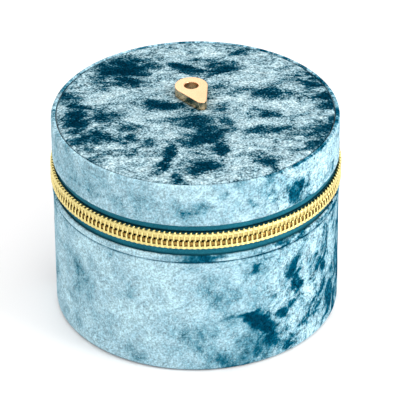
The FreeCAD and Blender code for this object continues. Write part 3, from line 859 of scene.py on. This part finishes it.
def base_side():
    """A rolled lip, a groove below it, the wall, and the foot turned under."""
    profile = [
        (46.70, 42.0), (46.72, 44.3), (46.78, 44.72), (46.98, BASE_EDGE),
        (47.22, BASE_EDGE + 0.08), (47.46, BASE_EDGE - 0.02), (47.64, BASE_EDGE - 0.35),
        (47.72, BASE_EDGE - 0.9), (47.70, 43.4), (47.56, 42.85), (47.26, 42.50),
        (47.00, 42.34), (46.98, 42.22), (47.22, 42.06), (47.42, 41.85), (47.50, 41.5)]
    profile += run(47.5, 41.1, 2.2, -0.5)
    profile += [
        (47.48, 1.75), (47.40, 1.20), (47.18, 0.72), (46.86, 0.36), (46.45, 0.12),
        (46.0, 0.02), (45.5, 0.0), (45.3, 0.08), (45.28, 0.4), (45.3, 0.86), (46.0, 0.95),
        (46.55, 1.3), (46.68, 2.0), (46.68, 15.0), (46.68, 30.0)]
    ob = ring("base_side_velvet", profile, n=640, paint=side_nap(BASE_MARKS, lie=0.69),
              shift=side_shift(61, BASE_STITCH_Z, BASE_EDGE, swell=0.12))
    dress(ob, SIDE_VELVET, "velvet_outer", "base_side_cover", "base")


def base_bottom():
    profile = [(0, 0.0)] + [(r, 0.0) for r in np.arange(2.0, 45.0, 1.5)]
    profile += [(45.12, 0.06), (45.2, 0.3), (45.16, 0.7), (45.0, 0.8), (30, 0.8), (0, 0.8)]
    ob = disc("base_bottom_velvet", profile, n=220, paint=bottom_nap)
    dress(ob, TOP_VELVET, "velvet_outer", "base_bottom_cover", "base")


lid_side()
lid_top()
base_side()
base_bottom()


# ---------------------------------------------------------------- linings
def wall_shift(seed):
    """Unevenness of a wall lining's inner face."""
    return lambda points, r, phi, z: (
        np.where(r < 44.2, 0.08 * sway(points, 9, seed, octaves=2), 0), 0)


def base_wall_lining():
    profile = [(43.92, FITTING_Z)] + run(43.9, 5, 44.0, 1.2)
    profile += [
        (43.92, 44.3), (44.05, 44.68), (44.4, 44.93), (45.0, 45.0), (45.6, 44.9),
        (45.95, 44.65), (46.02, 44.46), (45.2, 44.43), (44.52, 44.41), (44.5, 30),
        (44.5, FITTING_Z)]
    ob = ring("base_wall_velveteen", profile, n=240, shift=wall_shift(81))
    dress(ob, LINING, "lining", "base_wall_lining", "base")


def base_floor_lining():
    profile = [(0, 3.32), (20, 3.32), (44.3, 3.32), (44.44, 3.6), (44.4, 4.2), (44.2, 4.3)]
    profile += [(r, 4.3) for r in np.arange(43, 1, -2.0)] + [(0, 4.3)]

    def shift(points, r, phi, z):
        return 0, np.where(z > 4.25, -0.05 * layered_noise(points, 7, seed=83, octaves=2), 0)
    ob = disc("base_floor_velveteen", profile, n=160, shift=shift)
    dress(ob, LINING, "lining", "base_floor_lining", "base")


def lid_wall_lining(top=65.05):
    profile = [(43.92, top)] + run(43.9, 64.4, 57.2, -1.0)
    profile += [
        (43.92, 57.0), (44.05, 56.62), (44.4, 56.38), (45.0, 56.3), (45.6, 56.4),
        (45.95, 56.6), (46.02, 56.78), (45.2, 56.78), (44.52, 56.79), (44.5, 60), (44.5, top)]
    ob = ring("lid_wall_velveteen", profile, n=240, shift=wall_shift(85))
    dress(ob, LINING, "lining", "lid_wall_lining", "lid")


def lid_panel():
    profile = [(0, 65.1)] + [(r, 65.1) for r in np.arange(2, 44, 2.0)]
    profile += [(44.3, 65.12), (44.46, 65.4), (44.42, 66.0), (44.2, 66.18), (30, 66.18),
                (0, 66.18)]

    def shift(points, r, phi, z):
        return 0, np.where(z < 65.11, 0.04 * layered_noise(points, 7, seed=87, octaves=2), 0)
    ob = disc("lid_panel_velveteen", profile, n=160, shift=shift)
    dress(ob, LINING, "lining", "lid_lining_panel", "lid")


def mirror_surround():
    """A padded ring under the lid's panel."""
    profile = cut_corners([
        (30.15, 65.02), (30.15, 62.9), (29.0, 62.68), (28.86, 62.4), (28.9, 62.05),
        (29.3, 61.74), (30.2, 61.52), (31.4, 61.46), (32.6, 61.6), (33.6, 62.05),
        (34.15, 62.8), (34.2, 63.8), (34.1, 65.0)])

    def shift(points, r, phi, z):
        return 0, np.where(z < 62, 0.05 * sway(points, 5, seed=91, octaves=1), 0)
    ob = ring("mirror_surround", profile, n=240, shift=shift)
    dress(ob, LINING, "lining", "mirror_frame", "lid")


base_wall_lining()
base_floor_lining()
lid_wall_lining()
lid_panel()
mirror_surround()


# ---------------------------------------------------------------- ring rolls
def roll_section():
    """(y from the roll's middle, z): flat sides, a domed top and a flat foot."""
    half = ROLL_WIDTH / 2 - 0.12
    foot = FITTING_Z + 0.02
    low, high = FITTING_Z + 1.2, FITTING_Z + ROLL_HEIGHT - half
    section = [(-half, foot)] + run(-half, low, high, 1.3)
    for degrees in np.linspace(180, 0, 19):
        a = math.radians(degrees)
        section.append((half * math.cos(a), FITTING_Z + ROLL_HEIGHT - ROLL_WIDTH / 2
                        + (ROLL_WIDTH / 2) * math.sin(a)))
    section += run(half, high, low, -1.3)[1:] + [(half, foot)]
    return section + [(y, foot) for y in np.linspace(half, -half, 7)[1:-1]]


def roll_sleeve(name, middle_y, stations=61):
    """A velveteen sleeve with ends cut to the drum, soft corners and a puckered skin."""
    section = roll_section()
    points = []
    for k in range(stations):
        s = -1 + 2 * k / (stations - 1)
        for dy, z in section:
            y = middle_y + dy
            reach = math.sqrt(max(DRUM_RADIUS ** 2 - y * y, 1.0))
            from_end = (1 - abs(s)) * reach
            soft = 0.55 * math.exp(-from_end / 0.9)          # ends roll in
            rolled_z = (FITTING_Z
                        + (z - FITTING_Z) * (1 - 0.012 * soft / 0.55 * (z > FITTING_Z + 2))
                        - 0.25 * soft * (z > FITTING_Z + 10))
            points.append((s * reach, middle_y + dy * (1 - soft * 0.16), rolled_z))
    points = np.array(points)
    pucker = sway(points, 8, seed=int(abs(middle_y) * 3), octaves=3)
    up = np.clip((points[:, 2] - FITTING_Z - 3) / 6, 0, 1)
    points[:, 1] += 0.10 * pucker * up * np.sign(points[:, 1] - middle_y + 1e-9) * 0.8
    points[:, 2] += np.where(points[:, 2] > FITTING_Z + ROLL_HEIGHT - 5, 0.16 * pucker, 0)
    return build_mesh(name, points, loft_faces(stations, len(section)), sharp_angle=62)


SIM_SCALE = 40.0 * MM    # the cloth is 40 times life size so that the solver's defaults suit
SHRINK_X, SHRINK_Y, SHRINK_Z = 0.988, 0.91, 0.975   # the cloth's start shape


def read_vectors(collection, key, count):
    values = np.empty(count * 3)
    collection.foreach_get(key, values)
    return values.reshape(-1, 3)


def cloth_object(sleeve, middle_y, voxel=1.15):
    """The sleeve a little smaller, remeshed evenly, as an object of its own."""
    points = read_vectors(sleeve.data.vertices, "co", len(sleeve.data.vertices)) / MM
    small = points.copy()
    small[:, 1] = middle_y + (points[:, 1] - middle_y) * SHRINK_Y
    small[:, 2] = FITTING_Z + (points[:, 2] - FITTING_Z) * SHRINK_Z
    small[:, 0] = points[:, 0] * SHRINK_X
    mesh = sleeve.data.copy()
    mesh.vertices.foreach_set("co", (small * SIM_SCALE).ravel())
    mesh.update()
    start_ob = bpy.data.objects.new(sleeve.name + "_start", mesh)
    scene.collection.objects.link(start_ob)
    remesh = start_ob.modifiers.new("voxels", "REMESH")
    remesh.mode = "VOXEL"
    remesh.voxel_size = voxel * SIM_SCALE
    depsgraph = bpy.context.evaluated_depsgraph_get()
    cloth_mesh = bpy.data.meshes.new_from_object(start_ob.evaluated_get(depsgraph))
    bpy.data.objects.remove(start_ob)
    cloth = bpy.data.objects.new(sleeve.name + "_cloth", cloth_mesh)
    scene.collection.objects.link(cloth)
    return cloth


def blow_out(cloth, start, frames=20):
    """Runs the cloth, a few per cent too large and glued at its foot; gives its points."""
    glued = cloth.vertex_groups.new(name="glued")
    foot = np.nonzero(start[:, 2] < FITTING_Z + 2.2)[0]
    glued.add([int(i) for i in foot], 1.0, "REPLACE")
    modifier = cloth.modifiers.new("cloth", "CLOTH")
    settings = modifier.settings
    settings.quality = 5
    settings.mass = 0.3
    settings.tension_stiffness = 15
    settings.compression_stiffness = 15
    settings.shear_stiffness = 5
    settings.bending_stiffness = 0.10
    settings.use_pressure = True
    settings.uniform_pressure_force = 1.0
    settings.shrink_min = -0.12
    settings.effector_weights.gravity = 0
    settings.vertex_group_mass = "glued"
    modifier.collision_settings.use_collision = False
    modifier.point_cache.frame_start = 1
    modifier.point_cache.frame_end = frames
    for number in range(1, frames + 1):
        scene.frame_set(number)
    evaluated = cloth.evaluated_get(bpy.context.evaluated_depsgraph_get())
    return read_vectors(evaluated.data.vertices, "co", len(start)) / SIM_SCALE


def relax(mesh, values, rounds=40):
    """Values averaged with their neighbours', again and again."""
    count = len(mesh.edges)
    edges = np.empty(count * 2, np.int32)
    mesh.edges.foreach_get("vertices", edges)
    edges = edges.reshape(-1, 2)
    n = len(values)
    degree = np.bincount(edges.ravel(), minlength=n).astype(float)
    result = values.copy()
    for _ in range(rounds):
        total = (np.bincount(edges[:, 0], weights=result[edges[:, 1]], minlength=n)
                 + np.bincount(edges[:, 1], weights=result[edges[:, 0]], minlength=n))
        result = 0.5 * result + 0.5 * total / np.maximum(degree, 1)
    return result


def puffed_sleeve(sleeve, middle_y, fold_in=0.32, fold_out=0.7125):
    """The sleeve as cloth blown out by a little pressure. The fold limits are in mm; the
    core is only half a millimetre below the skin."""
    cloth = cloth_object(sleeve, middle_y)
    mesh = cloth.data
    count = len(mesh.vertices)
    start = read_vectors(mesh.vertices, "co", count) / SIM_SCALE
    blown = blow_out(cloth, start)

    # back to the roll's own size
    final = start.copy()
    final[:, 1] = middle_y + (start[:, 1] - middle_y) / SHRINK_Y
    final[:, 2] = FITTING_Z + (start[:, 2] - FITTING_Z) / SHRINK_Z
    final[:, 0] = start[:, 0] / SHRINK_X

    # the roll's shape already has the even swelling; only the folds are kept
    normals = read_vectors(mesh.vertices, "normal", count)
    outward = ((blown - start) * normals).sum(1)
    up = np.clip((start[:, 2] - FITTING_Z - 2.2) / 5.0, 0, 1)
    folds = (outward - relax(mesh, outward)) * up
    limit = np.where(folds < 0, fold_in, fold_out)[:, None]
    final = final + normals * limit * np.tanh(folds / 1.1)[:, None]
    final[:, 1] = np.clip(final[:, 1], middle_y - ROLL_WIDTH / 2 - 0.02,
                          middle_y + ROLL_WIDTH / 2 + 0.02)
    final[:, 2] = np.clip(final[:, 2], FITTING_Z + 0.02, FITTING_Z + ROLL_HEIGHT + 0.45)
    radius = np.hypot(final[:, 0], final[:, 1])
    final[:, :2] *= np.minimum(1.0, (DRUM_RADIUS + 0.05) / np.maximum(radius, 1e-9))[:, None]

    cloth.modifiers.clear()
    mesh.vertices.foreach_set("co", (final * MM).ravel())
    mesh.update()
    bm = bmesh.new()
    bm.from_mesh(mesh)
    bmesh.ops.smooth_vert(bm, verts=bm.verts, factor=0.5,
                          use_axis_x=True, use_axis_y=True, use_axis_z=True)
    bmesh.ops.subdivide_edges(bm, edges=bm.edges, cuts=1, use_grid_fill=True, smooth=0.6)
    bm.to_mesh(mesh)
    bm.free()
    mesh.shade_smooth()
    name = sleeve.name
    bpy.data.objects.remove(sleeve)
    cloth.name = name
    scene.frame_set(1)
    return cloth


for node, middle_y in (("ring_roll_front", -31.6), ("ring_roll_middle", -19.1),
                       ("ring_roll_rear", -6.6)):
    sleeve = roll_sleeve(node + "_sleeve", middle_y)
    sleeve = puffed_sleeve(sleeve, middle_y)
    dress(sleeve, LINING, "lining", node, "base")


# ---------------------------------------------------------------- dividers
def divider(node, along_x, start, end, middle, stations=60):
    """A padded board with a rounded top edge, from start to end along x or y."""
    half, top = DIVIDER_WIDTH / 2, DIVIDER_TOP
    mid_z = (FITTING_Z + top) / 2
    section = subdivide_outline([   # (across, z)
        (-half, FITTING_Z), (-half, mid_z), (-half * 0.99, top - 1.3),
        (-half * .85, top - .6), (-half * .5, top - .14), (0, top),
        (half * .5, top - .14), (half * .85, top - .6), (half * .99, top - 1.3),
        (half, mid_z), (half, FITTING_Z)], step=1.6)
    points = []
    for k in range(stations):
        along = start + (end - start) * k / (stations - 1)
        for across, z in section:
            reach = math.sqrt(DRUM_RADIUS ** 2 - (middle + across) ** 2)
            fitted = max(-reach, min(reach, along))
            points.append((fitted, middle + across, z) if along_x
                          else (middle + across, fitted, z))
    points = np.array(points)
    pucker = sway(points, 6, seed=97, octaves=2)
    axis = 1 if along_x else 0
    points[:, axis] += 0.07 * pucker * np.sign(points[:, axis] - middle + 1e-9)
    points[:, 2] += np.where(points[:, 2] > top - 1.5, 0.06 * pucker, 0)
    ob = build_mesh(node + "_pad", points, loft_faces(stations, len(section)), sharp_angle=60)
    dress(ob, LINING, "lining", node, "base")


divider("divider_long", along_x=True, start=-43.4, end=43.4, middle=1.3)
divider("divider_cross", along_x=False, start=2.62, end=43.5, middle=0.0)


# ---------------------------------------------------------------- zip tapes
TAPE_FOOT, TAPE_HEAD = 38.8, 62.8
TAPE_GAP = 0.42          # from the zip's middle to each tape
FAN_LOW, FAN_HIGH = 55.1, 56.9


def tape_profile(low, high):
    """A tape with thinned edges."""
    heights = np.linspace(low, high, 34)
    edge_out, edge_in = TAPE_OUTER - 0.12, TAPE_INNER + 0.1
    return ([(TAPE_OUTER, z) for z in heights]
            + [(edge_out, high + 0.05), (edge_in, high + 0.05)]
            + [(TAPE_INNER, z) for z in heights[::-1]]
            + [(edge_in, low - 0.05), (edge_out, low - 0.05)])


def strip_profile(low, high):
    """A plain strip of tape, finely divided so that it can bend."""
    heights = np.linspace(low, high, max(3, int((high - low) / 0.13)))
    return [(TAPE_OUTER, z) for z in heights] + [(TAPE_INNER, z) for z in heights[::-1]]


def tape_shift(seed):
    """Slow waves near the zip, and the ribs of the tape's thicker edge."""
    def shift(points, r, phi, z):
        away = np.abs(z - ZIP_Z)
        dr = 0.05 * sway(points, 6, seed, octaves=2) * np.clip((5.0 - away) / 2, 0, 1)
        dr = dr + 0.03 * np.sin(away * 2 * math.pi / 0.95) * (away < 5)
        return np.minimum(dr, 0.02), 0
    return shift


def tape_shade(points, r, phi, z):
    """Darkness beside and behind the coil and along the covers' edges."""
    h = z - ZIP_Z
    upper = 1.0 * bell(h, centre=3.04, width=0.30, power=4) + 0.15 * rise(h, 4.6, over=1.0)
    lower = (0.35 * bell(h, centre=-3.3, width=0.3)
             + 0.5 * bell(z, centre=BASE_EDGE + 0.05, width=0.35))
    behind_coil = 0.85 * (np.abs(h) < 1.4)
    return {"shade": np.clip(np.where(h > 0, upper, lower) + behind_coil, 0, 0.95)}


def tape(name, node, profile, n, start, end, seed=103, **ties):
    ob = ring(name, profile, n, start, end, shift=tape_shift(seed), paint=tape_shade)
    dress(ob, TAPE, "zip_tape", node, **ties)


tape("lower_tape", "lower_zip_tape", tape_profile(TAPE_FOOT, ZIP_Z - TAPE_GAP), 520,
     -TAPE_END, TAPE_END, seed=101, body="base")
tape("upper_tape_front", "upper_zip_tape", tape_profile(ZIP_Z + TAPE_GAP, TAPE_HEAD), 440,
     -BEND_START, BEND_START, body="lid")

# ---------------------------------------------------------------- zip coils
# one turn of the wire: along the chain (share of a pitch), away from the zip's middle,
# outward, wire radius outward, wire radius across
COIL_TURN = np.array([
    (0.00, 0.02, 0.86, 0.30, 0.30), (0.00, 0.30, 1.12, 0.31, 0.32),
    (0.00, 0.80, 1.22, 0.32, 0.38), (0.02, 1.60, 1.22, 0.32, 0.42),
    (0.08, 2.30, 1.18, 0.33, 0.42), (0.16, 2.68, 1.02, 0.33, 0.40),
    (0.24, 2.84, 0.74, 0.33, 0.36), (0.32, 2.74, 0.46, 0.32, 0.33),
    (0.44, 2.20, 0.36, 0.30, 0.32), (0.58, 1.40, 0.36, 0.30, 0.31),
    (0.76, 0.62, 0.38, 0.30, 0.30), (0.92, 0.14, 0.54, 0.29, 0.30)])

# side of the zip's middle, offset in pitches, and the cloth bed's radius and painted shade
LOWER_ROW = dict(side=-1, offset=0.375, bed_out=0.94, bed_shade=0.95)
UPPER_ROW = dict(side=1, offset=0.625, bed_out=1.05, bed_shade=0.36)


def interleave(values, between):
    result = np.empty((2 * len(values) - 1, values.shape[1]))
    result[0::2] = values
    result[1::2] = between
    return result


def averages(values):
    return (values[:-1] + values[1:]) / 2


def catmull_rom_middles(p):
    i = np.arange(len(p) - 1)
    p0, p1, p2, p3 = p[np.maximum(i - 1, 0)], p[i], p[i + 1], p[np.minimum(i + 2, len(p) - 1)]
    return 0.5 * ((p1 + p2) + 0.125 * (p1 + p2 - p0 - p3))


def coil(name, node, start, end, row, **ties):
    """One row of the chain: a flattened spiral, its cord, its bed and two chain stitches."""
    side, offset = row["side"], row["offset"]
    step = math.degrees(PITCH / RADIUS)
    first = round((start - offset * step) / step)
    last = round((end - offset * step) / step)
    turns = last - first

    def line(samples, radii, sides, out, away):
        """A tube along the row; out and away may be functions of the wire's phase."""
        phi = np.linspace(first * step, last * step, samples * turns)
        phase = 2 * math.pi * (phi / step - offset)
        out = out(phase) if callable(out) else out
        away = away(phase) if callable(away) else away
        return tube(polar(COIL_SEAT + out, phi, ZIP_Z + side * away), radii, sides,
                    up=polar(1.0, phi, 0.0))

    along, away, out, wire_out, wire_across = np.tile(COIL_TURN, (turns, 1)).T
    count = np.repeat(np.arange(first, last), len(COIL_TURN))
    phi = (count + offset + along) * step
    path = polar(COIL_SEAT + out, phi, ZIP_Z + side * away)
    up = polar(1.0, phi, 0.0)
    radii = np.stack([wire_out, wire_across], -1)
    parts = [
        tube(interleave(path, catmull_rom_middles(path)), interleave(radii, averages(radii)),
             8, up=interleave(up, averages(up))),
        line(samples=3, radii=(0.30, 0.62), sides=8, out=0.74, away=1.55),
        line(samples=3, radii=(0.12, 1.22), sides=10, out=row["bed_out"], away=1.56)]
    for height in (2.02, 2.44):
        parts.append(line(samples=8, radii=(0.24, 0.27), sides=8,
                          out=lambda phase: 1.32 + 0.06 * np.cos(phase),
                          away=lambda phase: height + 0.08 * np.sin(phase)))
    points, faces = merge(parts)
    # painted shade on the cord and the bed, as much as the row's bed_shade
    bed = np.zeros(len(points))
    bed_start = len(parts[0][0])
    bed[bed_start:bed_start + len(parts[1][0]) + len(parts[2][0])] = row["bed_shade"]
    ob = build_mesh(name, points, faces, {"bed": bed})
    dress(ob, GILT_COIL, "zip_gold", node, **ties)


coil("lower_coil", "lower_zip_coil", -COIL_END, COIL_END, LOWER_ROW, body="base")
coil("upper_coil_front", "upper_zip_coil", -BEND_START, BEND_START, UPPER_ROW, body="lid")

# Near the cloth hinge the upper row's ends are built as plain ring pieces: a strip under the
# chain, a strip above it
# # between the chain and the lid's edge, and the coil, each with its transform baked in.
CHAIN_BEND = ((0, 0.0388, ZIP_Z * MM), (0, 0.0300, ZIP_Z * MM))
FAN_BEND = ((0, 0.0388, 0.0551), (0, 0.03873586, 0.0558487))

for side, suffix in ((1, "right"), (-1, "left")):
    start, end = sorted((side * BEND_START, side * TAPE_END))
    tape("upper_tape_end_" + suffix, "upper_zip_tape",
         strip_profile(ZIP_Z + TAPE_GAP, FAN_LOW), 110, start, end, bend=CHAIN_BEND)
    tape("upper_tape_fan_" + suffix, "upper_zip_tape",
         strip_profile(FAN_LOW, FAN_HIGH), 110, start, end, bend=FAN_BEND)
    start, end = sorted((side * BEND_START, side * COIL_END))
    coil("upper_coil_end_" + suffix, "upper_zip_coil", start, end, UPPER_ROW, bend=CHAIN_BEND)


# ---------------------------------------------------------------- cloth hinge
def hinge_shift(points, r, phi, z):
    """A crease at the height of the zip."""
    t = (z - ZIP_Z) / 5.4
    return -0.25 * bell(t, centre=0, width=0.22) + 0.05 * sway(points, 4, 111, octaves=2), 0


def hinge_bend(y):
    return (0, y, 0.0456), (0, y, 0.0559)


def hinge_outside():
    profile = [(47.5, z) for z in np.linspace(45.25, 56.1, 40)] + [(47.3, 56.25), (46.95, 56.28)]
    profile += [(46.70, z) for z in np.linspace(56.1, 45.25, 30)]
    profile += [(46.95, 45.1), (47.3, 45.12)]
    ob = ring("hinge_strip_velvet", profile, 90, 180 - HINGE_HALF, 180 + HINGE_HALF,
              shift=hinge_shift, paint=side_nap(LID_MARKS, lie=0.80))
    dress(ob, SIDE_VELVET, "velvet_outer", "hinge_strip", bend=hinge_bend(0.047))


def hinge_inside():
    profile = [(45.8, z) for z in np.linspace(44.7, 56.5, 40)] + [(45.5, 56.6)]
    profile += [(45.2, z) for z in np.linspace(56.5, 44.7, 40)] + [(45.5, 44.6)]
    half = HINGE_HALF + 1.5
    ob = ring("hinge_lining_strip", profile, 80, 180 - half, 180 + half, shift=hinge_shift)
    dress(ob, LINING, "lining", "hinge_lining", bend=hinge_bend(0.0455))


hinge_outside()
hinge_inside()

# ---------------------------------------------------------------- CAD pieces that stay
# material, then node names with the bevel width of each in mm (None: no bevel)
KEPT = [
    (BOARD, dict(base_wall_board=None, base_floor_board=None, lid_wall_board=None,
                 lid_top_board=None)),
    (FOAM, dict(lid_top_foam=None, ring_roll_cores=None)),
    (MIRROR, dict(mirror_glass=None)),
    (FILM, dict(mirror_adhesive=None)),
    (STEEL, dict(charm_retainers=0.08)),
    (GILT_CHARM, dict(lid_charm=None)),
    (GILT_SLIDER, dict(upper_zip_stops=0.12, lower_zip_stops=0.12, zip_slider_body=0.16,
                       slider_bail=None, pull_link=None, pull_tab=0.12)),
]


def keep_cad(node, material, bevel):
    """The CAD mesh is left alone; it gets a material and perhaps softened edges."""
    ob = CAD[node]
    if not ob.data.materials:
        ob.data.materials.append(material)
    for slot in ob.material_slots:
        slot.material = material
    if bevel:
        modifier = ob.modifiers.new("edge", "BEVEL")
        modifier.width = bevel * MM
        modifier.segments = 2
        modifier.limit_method = "ANGLE"
        modifier.angle_limit = math.radians(40)


for material, pieces in KEPT:
    for node, bevel in pieces.items():
        keep_cad(node, material, bevel)
for ob in CAD.values():
    if ob.type == "MESH":
        ob.data.shade_smooth()
        ob.data.set_sharp_from_angle(angle=math.radians(32))


# ---------------------------------------------------------------- floor, light, camera
def studio_floor(half=900, z=-0.05):
    corners = [(-half, -half, z), (half, -half, z), (half, half, z), (-half, half, z)]
    ob = build_mesh("studio_floor", corners, [(0, 1, 2, 3)], smooth=False)
    m = new_material("pale_floor")
    colour = m.mix(m.noise(size=60, detail=2), (0.905, 0.885, 0.88), (0.92, 0.90, 0.895))
    ob.data.materials.append(
        m.surface(Base_Color=colour, Roughness=0.7, Specular_IOR_Level=0.2))


def studio_world():
    """Soft grey light by height; the camera itself sees white."""
    world = bpy.data.worlds.new("studio")
    scene.world = world
    m = Nodes(world)
    # height in the ramp, brightness
    greys = [(p, (c, c, c)) for p, c in ((0.12, 0.80), (0.34, 1.10), (0.62, 0.92), (1.0, 1.12))]
    glow = m.ramp(m.axes(m.coordinates["Generated"])[2], [(0.0, (0.62, 0.62, 0.63))] + greys)
    seen = m.node("ShaderNodeLightPath").outputs["Is Camera Ray"]
    background = m.tree.nodes["Background"]
    m.put(background.inputs[0], m.mix(seen, glow, (1.0, 1.0, 1.0)))
    background.inputs[1].default_value = 1.08


def area_light(name, at, size, power, size_y=None, look=(0, 0, 0.035)):
    """An area light turned to look at a point (metres, watts)."""
    light = bpy.data.lights.new(name, "AREA")
    light.energy = power
    light.size = size
    if size_y:
        light.shape = "RECTANGLE"
        light.size_y = size_y
    ob = bpy.data.objects.new(name, light)
    scene.collection.objects.link(ob)
    ob.location = at
    ob.rotation_mode = "QUATERNION"
    ob.rotation_quaternion = (Vector(look) - Vector(at)).to_track_quat("-Z", "Y")


def studio_camera(azimuth=-19.0, elevation=32.18, distance=1.0683, roll=-0.52, aim_z=0.0355):
    """Angles in degrees, lengths in metres."""
    camera = bpy.data.cameras.new("camera")
    ob = bpy.data.objects.new("camera", camera)
    scene.collection.objects.link(ob)
    scene.camera = ob
    a, e = math.radians(azimuth), math.radians(elevation)
    back = Vector((math.sin(a) * math.cos(e), -math.cos(a) * math.cos(e), math.sin(e)))
    ob.location = Vector((0, 0, aim_z)) + back * distance
    ob.rotation_mode = "QUATERNION"
    tilt = Matrix.Rotation(math.radians(roll), 3, "Z").to_quaternion()
    ob.rotation_quaternion = (-back).to_track_quat("-Z", "Y") @ tilt
    camera.sensor_width = 36.0
    camera.lens = 287.9
    camera.shift_x = 0.0095
    camera.shift_y = 0.0063
    camera.clip_start = 0.05
    camera.clip_end = 20


studio_floor()
studio_world()
area_light("key", at=(0.44, -0.44, 0.46), size=0.34, power=3.5)
area_light("back_top", at=(-0.05, 0.50, 0.62), size=0.6, power=1.0)
area_light("front_strip", at=(-0.20, -0.75, 0.30), size=0.5, power=1.0, size_y=0.12)
studio_camera()
scene.view_settings.view_transform = "Standard"
scene.view_settings.look = "None"
